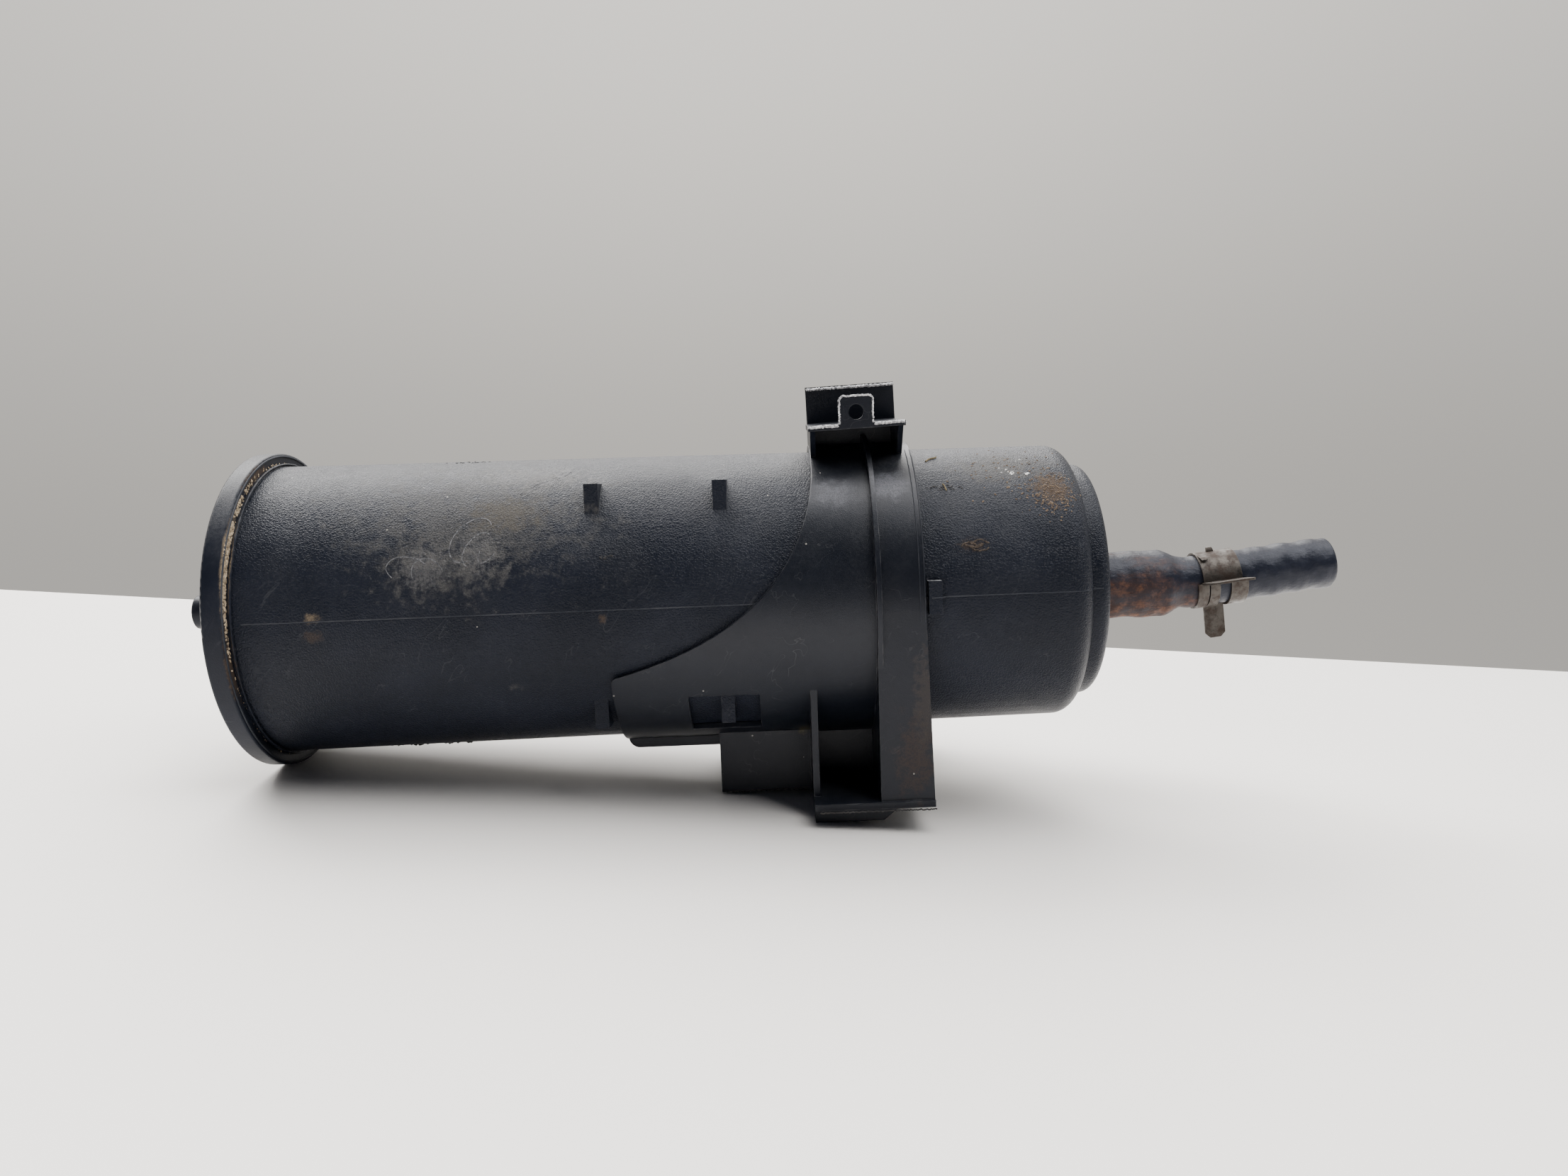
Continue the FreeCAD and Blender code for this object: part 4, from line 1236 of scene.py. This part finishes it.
@dataclass
class Hose:
    """The rubber hose: stretched thick over the port, then wound, bending up to its cut end."""

    shop: Workshop
    wall: float = 0.0032
    bore: float = 0.00635
    port_radius: float = 0.00955
    port_reach: float = 0.027
    taper: float = 0.0085
    bend_radius: float = 0.030
    winding_pitch: float = 0.0098
    winding_depth: float = 0.00042
    ribs: int = 56

    def __post_init__(self) -> None:
        """Reads where the hose starts, how it leaves the port and where its mouth is."""
        low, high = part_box("hose_stub")
        self.thick = (high.y - low.y) / 2
        self.start = Vector((low.x, 0.0, low.z + self.thick))
        bored = next(m for m in frame["record"]["mounts"] if m["name"] == "hose_mouth")
        self.heading = Vector(bored["axis"]).normalized()
        inside = Vector(bored["pos_m"])
        end_x = high.x - (self.bore + self.wall) * self.heading.z
        self.mouth = inside + self.heading * ((end_x - inside.x) / self.heading.x)
        self.slope = math.atan2(self.heading.z, self.heading.x)
        self.bend_at = self._bend_start()

    def _bend_start(self) -> float:
        """How far from the hose's start its bend begins, so that its free run ends at the mouth."""
        swing_x = self.bend_radius * math.sin(self.slope)
        swing_z = self.bend_radius * (1.0 - math.cos(self.slope))
        free = (self.mouth.z - self.start.z - swing_z) / math.sin(self.slope)
        return self.mouth.x - free * math.cos(self.slope) - swing_x - self.start.x

    def centre(self, run: float) -> Tuple[Vector, Vector]:
        """The middle of the hose and its heading at a run along it.

        Args:
            run: Distance along the middle line.

        Returns:
            The point and the heading.
        """
        if run <= self.bend_at:
            return self.start + Vector((run, 0.0, 0.0)), Vector((1.0, 0.0, 0.0))
        turn = min((run - self.bend_at) / self.bend_radius, self.slope)
        lift = Vector((math.sin(turn), 0.0, 1.0 - math.cos(turn))) * self.bend_radius
        heading = Vector((math.cos(turn), 0.0, math.sin(turn)))
        rest = max(0.0, run - self.bend_at - self.slope * self.bend_radius)
        return self.start + Vector((self.bend_at, 0.0, 0.0)) + lift + heading * rest, heading

    def length(self) -> float:
        """The length of the hose's middle line."""
        bend = self.bend_at + self.slope * self.bend_radius
        return bend + (self.mouth - self.centre(bend)[0]).length

    def outer_radius(self, run: float, turn: float, whole: float) -> float:
        """The hose's outer radius.

        Args:
            run: Distance along the hose.
            turn: Angle round it.
            whole: The hose's length.

        Returns:
            The radius with its swelling, winding and lumps.
        """
        thin = self.bore + self.wall
        share = min(1.0, max(0.0, (run - self.port_reach) / self.taper))
        share = share * share * (3.0 - 2.0 * share)
        radius = (self.thick - 0.0003) * (1.0 - share) + thin * share
        place = Vector((run * 150.0, math.cos(turn) * 1.1, math.sin(turn) * 1.1))
        lumps = 0.00045 * noise.noise(place * 0.8) + 0.00018 * noise.noise(place * 2.7)
        wave = math.sin(math.tau * run / self.winding_pitch - turn)
        winding = self.winding_depth * (wave * 0.5 - 0.5) * (0.3 + 0.7 * share)
        clamped = math.exp(-(((run - 0.048) / 0.009) ** 4))
        lip = min(1.0, (whole - run) / 0.0012)
        radius += (lumps + winding) * (1.0 - 0.85 * clamped)
        radius -= 0.0005 * (1.0 - max(0.0, lip)) ** 2
        radius -= 0.0009 * math.exp(-((run / 0.0024) ** 6))
        return min(radius, self.thick)

    def build(self) -> None:
        """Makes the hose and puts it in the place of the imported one."""
        whole = self.length()
        mesh = bmesh.new()
        rings: List[Ring] = []
        for run in steps(0.0, whole, 260):
            rings.append(self.ring(run, lambda turn, s=run: self.outer_radius(s, turn, whole)))
        port_end = self.port_reach + self.taper
        inner = list(reversed(steps(port_end + 0.0006, whole, 60)))
        rings.append(self.ring(whole, lambda turn: self.bore + 0.0006))
        for run in inner:
            flare = 0.0005 * math.exp(-(((whole - run) / 0.002) ** 2))
            rings.append(self.ring(run, lambda turn, f=flare: self.bore + f))
        for run in reversed(steps(0.0, self.port_reach + 0.002, 12)):
            rings.append(self.ring(run, lambda turn: self.port_radius))
        rings.append(rings[0])
        loft(mesh, rings, capped=False)
        bmesh.ops.remove_doubles(mesh, verts=mesh.verts, dist=1e-7)
        hose = self.shop.piece("hose_wound", mesh, "aged rubber", Body.HOSE, Slot.RUBBER, 50.0)
        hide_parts("hose_stub")

    def ring(self, run: float, radius: Callable[[float], float]) -> Ring:
        """One ring of points round the hose at a run along it."""
        centre, heading = self.centre(run)
        across = Vector((0.0, 1.0, 0.0))
        up = heading.cross(across).normalized()
        points = []
        for k in range(self.ribs):
            turn = math.tau * k / self.ribs
            points.append(centre + (across * math.cos(turn) + up * math.sin(turn)) * radius(turn))
        return points


@dataclass
class Clamp:
    """The sprung hose clamp, with its stop tab and the curled corners of its band."""

    shop: Workshop
    sheet: float = 0.0008

    def __post_init__(self) -> None:
        """Reads the clamp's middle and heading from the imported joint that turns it."""
        joint = next(j for j in frame["joints"] if j["child"] == Body.CLAMP.value)
        self.heading = Vector(joint["axis"]).normalized()
        self.centre = Vector(joint["pos_m"])

    def build(self) -> None:
        """Makes the clamp's pieces."""
        self.shop.dress("hose_clamp", "rusty clamp")
        self.stop_tab()

    def local(self, x: float, radius: float, angle: float) -> Vector:
        """A point round the clamp.

        Args:
            x: Distance along the hose from the clamp's middle.
            radius: Distance from the hose's middle line.
            angle: Degrees above the near side.

        Returns:
            The point in the object's frame.
        """
        turn = math.radians(angle)
        across = Vector((0.0, -1.0, 0.0))
        up = across.cross(self.heading).normalized()
        if up.z < 0:
            up = -up
        return self.centre + self.heading * x + (across * math.cos(turn) + up * math.sin(turn)) * radius

    def stop_tab(self) -> None:
        """Makes the small upright tab on the band's top and the turned-up edge behind it."""
        mesh = bmesh.new()
        radius = CLAMP_BAND_R
        tabs = ((-0.0022, 0.0004, 84.0, 0.0016, 4.0), (-0.0067, -0.0036, 63.0, 0.0011, -14.0))
        for x0, x1, angle, tall, lean in tabs:
            rings = []
            for t in steps(0.0, 1.0, 6):
                swing = angle + lean * t * t
                outer = radius + tall * t
                half = (x1 - x0) / 2 * (1.0 - 0.25 * t * t)
                mid = (x0 + x1) / 2
                thick = math.degrees(self.sheet / radius)
                rings.append([
                    self.local(mid - half, outer, swing),
                    self.local(mid + half, outer, swing),
                    self.local(mid + half, outer, swing + thick),
                    self.local(mid - half, outer, swing + thick),
                ])
            loft(mesh, rings)
        self.shop.piece("clamp_stops", mesh, "rusty clamp", Body.CLAMP, Slot.CLAMP, 30.0)


@dataclass
class Inside:
    """The filling and the springs inside the drum."""

    shop: Workshop

    def build(self) -> None:
        """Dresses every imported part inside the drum."""
        finishes = {
            "spring_plate": "inner plastic",
            "port_grille": "inner plastic",
            "vent_filter": "filter foam",
            "cover_foam": "filter foam",
            "port_foam": "filter foam",
            "cover_fleece": "filter fleece",
            "port_fleece": "filter fleece",
            "carbon_bed": "carbon pellets",
        }
        for node, finish in finishes.items():
            self.shop.dress(node, finish)
        for k in range(3):
            self.shop.dress(f"pressure_spring_{k + 1}", "drawn wire")


@dataclass(frozen=True)
class Lamp:
    """A soft rectangular lamp: its length and width in metres and its power in watts."""

    name: str
    place: Tuple[float, float, float]
    size: Tuple[float, float]
    power: float
    tint: Tuple[float, float, float]


LAMPS = (
    Lamp("ceiling_over", (0.22, 0.05, 1.15), (2.4, 0.62), 36.0, (1.0, 0.985, 0.965)),
    Lamp("ceiling_behind", (-0.1, 0.92, 1.0), (2.0, 0.85), 42.0, (1.0, 0.985, 0.96)),
    Lamp("ceiling_left", (-0.7, 0.5, 0.95), (0.5, 0.3), 4.0, (1.0, 0.99, 0.97)),
    Lamp("ceiling_right", (1.05, 0.1, 0.85), (0.8, 0.5), 6.0, (0.97, 0.98, 1.0)),
)


@dataclass
class Studio:
    """The pale table, soft lights and camera."""

    shop: Workshop
    far_left: Tuple[float, float] = (-0.3129, 0.304)
    far_right: Tuple[float, float] = (0.6675, 0.2545)

    def build(self) -> None:
        """Makes the table, the world, the lights and the camera."""
        self.table()
        self.world()
        self.lights()
        self.camera()

    def table(self) -> None:
        """Lays the table under the cover's flange and the foot's pad, with a rounded far edge."""
        low_cover = Vector((0.0068, 0.0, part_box("end_cover")[0].z))
        low_pad = Vector((0.197, 0.0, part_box("mounting_bracket")[0].z))
        slope = (low_pad.z - low_cover.z) / (low_pad.x - low_cover.x)

        def height(x: float) -> float:
            """The table's height at x."""
            return low_cover.z + slope * (x - low_cover.x) - 0.00005

        def far(x: float) -> float:
            """The table's far edge at x."""
            (x0, y0), (x1, y1) = self.far_left, self.far_right
            return y0 + (y1 - y0) * (x - x0) / (x1 - x0)

        mesh = bmesh.new()
        rings = []
        for x in steps(*TABLE_ENDS, 24):
            start_y, top = far(x) - TABLE_EDGE_R, height(x)
            ring = [Vector((x, TABLE_NEAR, top)), Vector((x, start_y, top))]
            for k in range(1, 7):
                turn = math.radians(15.0 * k)
                y = start_y + TABLE_EDGE_R * math.sin(turn)
                ring.append(Vector((x, y, top - TABLE_EDGE_R * (1 - math.cos(turn)))))
            ring.append(Vector((x, far(x), top - TABLE_EDGE_DROP)))
            rings.append(ring)
        loft(mesh, rings, closed=False, capped=False)
        self.shop.solid("table_top", mesh, "table top")

    def world(self) -> None:
        """Makes the room: a warm grey wall, and a dark screen seen only in reflections."""
        world = bpy.data.worlds.new("room")
        bpy.context.scene.world = world
        world.use_nodes = True
        graph = Graph(world.node_tree)
        sky = world.node_tree.nodes["Background"]
        way = graph.add("TexCoord").outputs["Generated"]
        parts = graph.add("SeparateXYZ", {0: way})
        high = graph.ramp(parts.outputs["Z"], -0.15, 0.45)
        wall = graph.blend(high, (0.56, 0.535, 0.497, 1.0), (1.3, 1.245, 1.16, 1.0))
        aside = graph.ramp(graph.math("ABSOLUTE", parts.outputs["X"]), 0.05, 0.75, 1.0, 0.62)
        wall = graph.blend(aside, (0.36, 0.35, 0.335, 1.0), wall)
        back = graph.ramp(parts.outputs["Y"], -0.35, 0.45)
        seen = graph.add("LightPath").outputs["Is Camera Ray"]
        screened = graph.blend(back, (0.03, 0.035, 0.052, 1.0), wall)
        graph.set_input(sky, "Color", graph.blend(seen, screened, wall))
        sky.inputs["Strength"].default_value = 1.0

    def hang(self, lamp: Lamp) -> None:
        """Hangs one soft rectangular lamp, turned towards the part."""
        data = bpy.data.lights.new(lamp.name, "AREA")
        data.shape = "RECTANGLE"
        data.size, data.size_y = lamp.size
        data.energy = lamp.power
        data.color = lamp.tint
        made = bpy.data.objects.new(lamp.name, data)
        made.location = lamp.place
        way = Vector(LAMP_AIM) - Vector(lamp.place)
        made.rotation_euler = way.to_track_quat("-Z", "Y").to_euler()
        bpy.context.scene.collection.objects.link(made)

    def lights(self) -> None:
        """Hangs the room's lamps."""
        for lamp in LAMPS:
            self.hang(lamp)

    def camera(self) -> None:
        """Places the camera."""
        data = bpy.data.cameras.new("camera")
        data.sensor_width = SENSOR_WIDTH
        data.lens = LENS
        data.clip_start, data.clip_end = 0.01, 20.0
        camera = bpy.data.objects.new("camera", data)
        right, up = Vector(CAMERA_RIGHT), Vector(CAMERA_UP)
        back = right.cross(up)
        turn = Matrix((right, up, back)).transposed()
        camera.matrix_world = Matrix.Translation(Vector(CAMERA_PLACE)) @ turn.to_4x4()
        bpy.context.scene.collection.objects.link(camera)
        bpy.context.scene.camera = camera


def finishes() -> List[Finish]:
    """Every finish of the object and its stage.

    Returns:
        The finishes, each with its own name.
    """
    tan = (0.30, 0.23, 0.145, 1.0)
    beige = (0.15, 0.143, 0.13, 1.0)
    brown = (0.1, 0.068, 0.043, 1.0)
    pale = (0.36, 0.35, 0.34, 1.0)
    painted_sheen = (0.115, 0.117, 0.135, 1.0)
    drum_stains = (
        StainOrSheen((0.086, -0.036, 0.036), (0.048, 0.03, 0.03), beige, 0.32, 210.0, 1.25),
        StainOrSheen((0.078, -0.047, 0.019), (0.024, 0.011, 0.013), beige, 0.2, 420.0, 1.3),
        StainOrSheen((0.097, -0.037, 0.036), (0.016, 0.010, 0.009), (0.105, 0.088, 0.062, 1.0), 0.45, 330.0, 1.1),
        StainOrSheen((0.0705, -0.0475, 0.020), (0.010, 0.006, 0.009), pale, 0.16, 900.0, 1.3),
        StainOrSheen((0.0885, -0.0455, 0.024), (0.009, 0.007, 0.010), pale, 0.16, 900.0, 1.3),
        StainOrSheen((0.105, -0.022, 0.047), (0.026, 0.010, 0.008), pale, 0.26, 700.0, 1.2),
        StainOrSheen((0.070, 0.034, 0.038), (0.040, 0.022, 0.022), beige, 0.16, 190.0, 1.3),
        StainOrSheen((0.150, 0.043, 0.026), (0.022, 0.012, 0.012), beige, 0.12, 330.0, 1.4),
        StainOrSheen((0.262, 0.040, 0.026), (0.016, 0.012, 0.012), brown, 0.3, 420.0, 1.2),
        StainOrSheen((0.045, 0.049, -0.012), (0.014, 0.007, 0.012), brown, 0.3, 420.0, 1.2),
        StainOrSheen((0.110, 0.010, -0.051), (0.050, 0.030, 0.010), beige, 0.3, 260.0, 1.3),
        StainOrSheen((0.034, -0.051, 0.0052), (0.0035, 0.004, 0.0022), tan, 0.5, 600.0, 0.7),
        StainOrSheen((0.034, -0.052, -0.001), (0.004, 0.004, 0.003), brown, 0.35, 600.0, 0.7),
        StainOrSheen((0.281, -0.034, 0.038), (0.0088, 0.0085, 0.0085), brown, 0.85, 420.0, 1.0),
        StainOrSheen((0.266, -0.024, 0.046), (0.022, 0.014, 0.012), beige, 0.42, 260.0, 0.8),
        StainOrSheen((0.252, -0.047, 0.0205), (0.0065, 0.004, 0.003), (0.05, 0.036, 0.028, 1.0), 0.7, 900.0, 1.0),
        StainOrSheen((0.1292, -0.0505, 0.0012), (0.0018, 0.003, 0.0022), brown, 0.6, 900.0, 0.6),
        StainOrSheen((0.098, -0.049, -0.022), (0.004, 0.004, 0.002), beige, 0.35, 600.0, 0.8),
    )
    cover_stains = (
        StainOrSheen((0.0072, -0.0475, 0.024), (0.0012, 0.016, 0.026), tan, 0.95, 260.0, 0.35),
        StainOrSheen((0.0072, -0.0215, 0.050), (0.0012, 0.018, 0.008), brown, 0.7, 260.0, 0.7),
        StainOrSheen((0.0072, -0.0545, -0.010), (0.0012, 0.008, 0.02), brown, 0.6, 420.0, 0.8),
    )
    bracket_stains_and_sheen = (
        StainOrSheen((0.231, -0.0525, -0.050), (0.009, 0.004, 0.017), (0.06, 0.042, 0.034, 1.0), 0.6, 260.0, 0.9),
        StainOrSheen((0.2345, -0.0525, -0.030), (0.005, 0.004, 0.022), (0.075, 0.06, 0.05, 1.0), 0.5, 420.0, 0.9),
        StainOrSheen((0.1945, -0.030, -0.047), (0.003, 0.012, 0.003), (0.2, 0.17, 0.09, 1.0), 0.5, 600.0, 0.7),
        # These two pale blotches on the collar below the clip pocket are painted sheen: colour that stands in for
        # the light that the collar catches there.
        StainOrSheen((0.226, -0.036, 0.041), (0.0085, 0.010, 0.0085), painted_sheen, 0.85, 260.0, 0.5, 0.45),
        StainOrSheen((0.2075, -0.038, 0.039), (0.0105, 0.009, 0.0075), painted_sheen, 0.6, 260.0, 0.6, 0.45),
    )
    return [
        MouldedPlastic("grained drum", stains_and_sheen=drum_stains),
        MouldedPlastic(
            "smooth cover", grain_scale=1500.0, grain_depth=0.0001, grain_strength=0.4, dust_amount=0.25,
            edge_radius=0.0006, stains_and_sheen=cover_stains, edge_wear_and_highlight_share=0.22, rough=0.34,
        ),
        # The bracket's strong pale edges are partly wear and partly painted edge highlight.
        MouldedPlastic(
            "satin bracket", colour=(0.0055, 0.007, 0.0115, 1.0), faded=(0.009, 0.011, 0.0165, 1.0),
            rough=0.27, specular=0.27, grain_scale=1800.0, grain_depth=0.00008, grain_strength=0.4,
            dust_amount=0.16, edge_radius=0.0005, edge_wear_and_highlight_share=0.6, scratch_share=0.06,
            scratch_turn=(0.2, 0.4, 1.1), stains_and_sheen=bracket_stains_and_sheen,
        ),
        MouldedPlastic(
            "inner plastic", colour=(0.07, 0.07, 0.072, 1.0), faded=(0.09, 0.09, 0.09, 1.0),
            grain_depth=0.00004, dust_amount=0.1,
        ),
        MouldedPlastic(
            "rubbed line", colour=(0.018, 0.021, 0.029, 1.0), faded=(0.05, 0.053, 0.062, 1.0),
            grain_depth=0.00003, rough=0.5,
        ),
        MouldedPlastic(
            "torn plastic", colour=(0.03, 0.029, 0.03, 1.0), faded=(0.06, 0.055, 0.05, 1.0),
            grain_scale=1400.0, rough=0.6,
        ),
        AgedRubber("aged rubber"),
        RustySteel("rusty clamp"),
        DrawnWire("drawn wire"),
        Filling(
            "filter foam", FillKind.FOAM,
            (0.09, 0.09, 0.095, 1.0), (0.012, 0.012, 0.013, 1.0), 1100.0, 0.0005,
        ),
        Filling(
            "filter fleece", FillKind.FLEECE,
            (0.62, 0.61, 0.58, 1.0), (0.3, 0.29, 0.27, 1.0), 1500.0, 0.0002,
        ),
        Filling(
            "carbon pellets", FillKind.CARBON,
            (0.05, 0.05, 0.052, 1.0), (0.006, 0.006, 0.006, 1.0), 520.0, 0.001,
        ),
        Grit("dry soil", (0.46, 0.375, 0.26, 1.0), (0.2, 0.15, 0.095, 1.0)),
        Grit("brown soil", (0.17, 0.12, 0.08, 1.0), (0.05, 0.032, 0.02, 1.0), 700.0),
        Grit("gouged plastic", (0.085, 0.062, 0.045, 1.0), (0.02, 0.016, 0.015, 1.0), 800.0),
        Grit("white grit", (0.75, 0.75, 0.74, 1.0), (0.45, 0.45, 0.44, 1.0), 900.0),
        Grit("pale flash and glint", (0.75, 0.75, 0.76, 1.0), (0.25, 0.25, 0.27, 1.0), 850.0),
        Grit("chalky rub", (0.2, 0.2, 0.21, 1.0), (0.03, 0.033, 0.04, 1.0), 1100.0),
        Grit("straw", (0.36, 0.29, 0.16, 1.0), (0.2, 0.15, 0.08, 1.0), 900.0),
        TableTop("table top"),
    ]


def main() -> None:
    logging.basicConfig(level=logging.INFO, format="%(name)s: %(message)s")
    effects = Effects()
    shop = Workshop({finish.name: finish.build(effects) for finish in finishes()})
    for assembly in (Drum(shop), Bracket(shop), Hose(shop), Clamp(shop), Inside(shop), Studio(shop)):
        assembly.build()


if __name__ == "__main__":
    main()
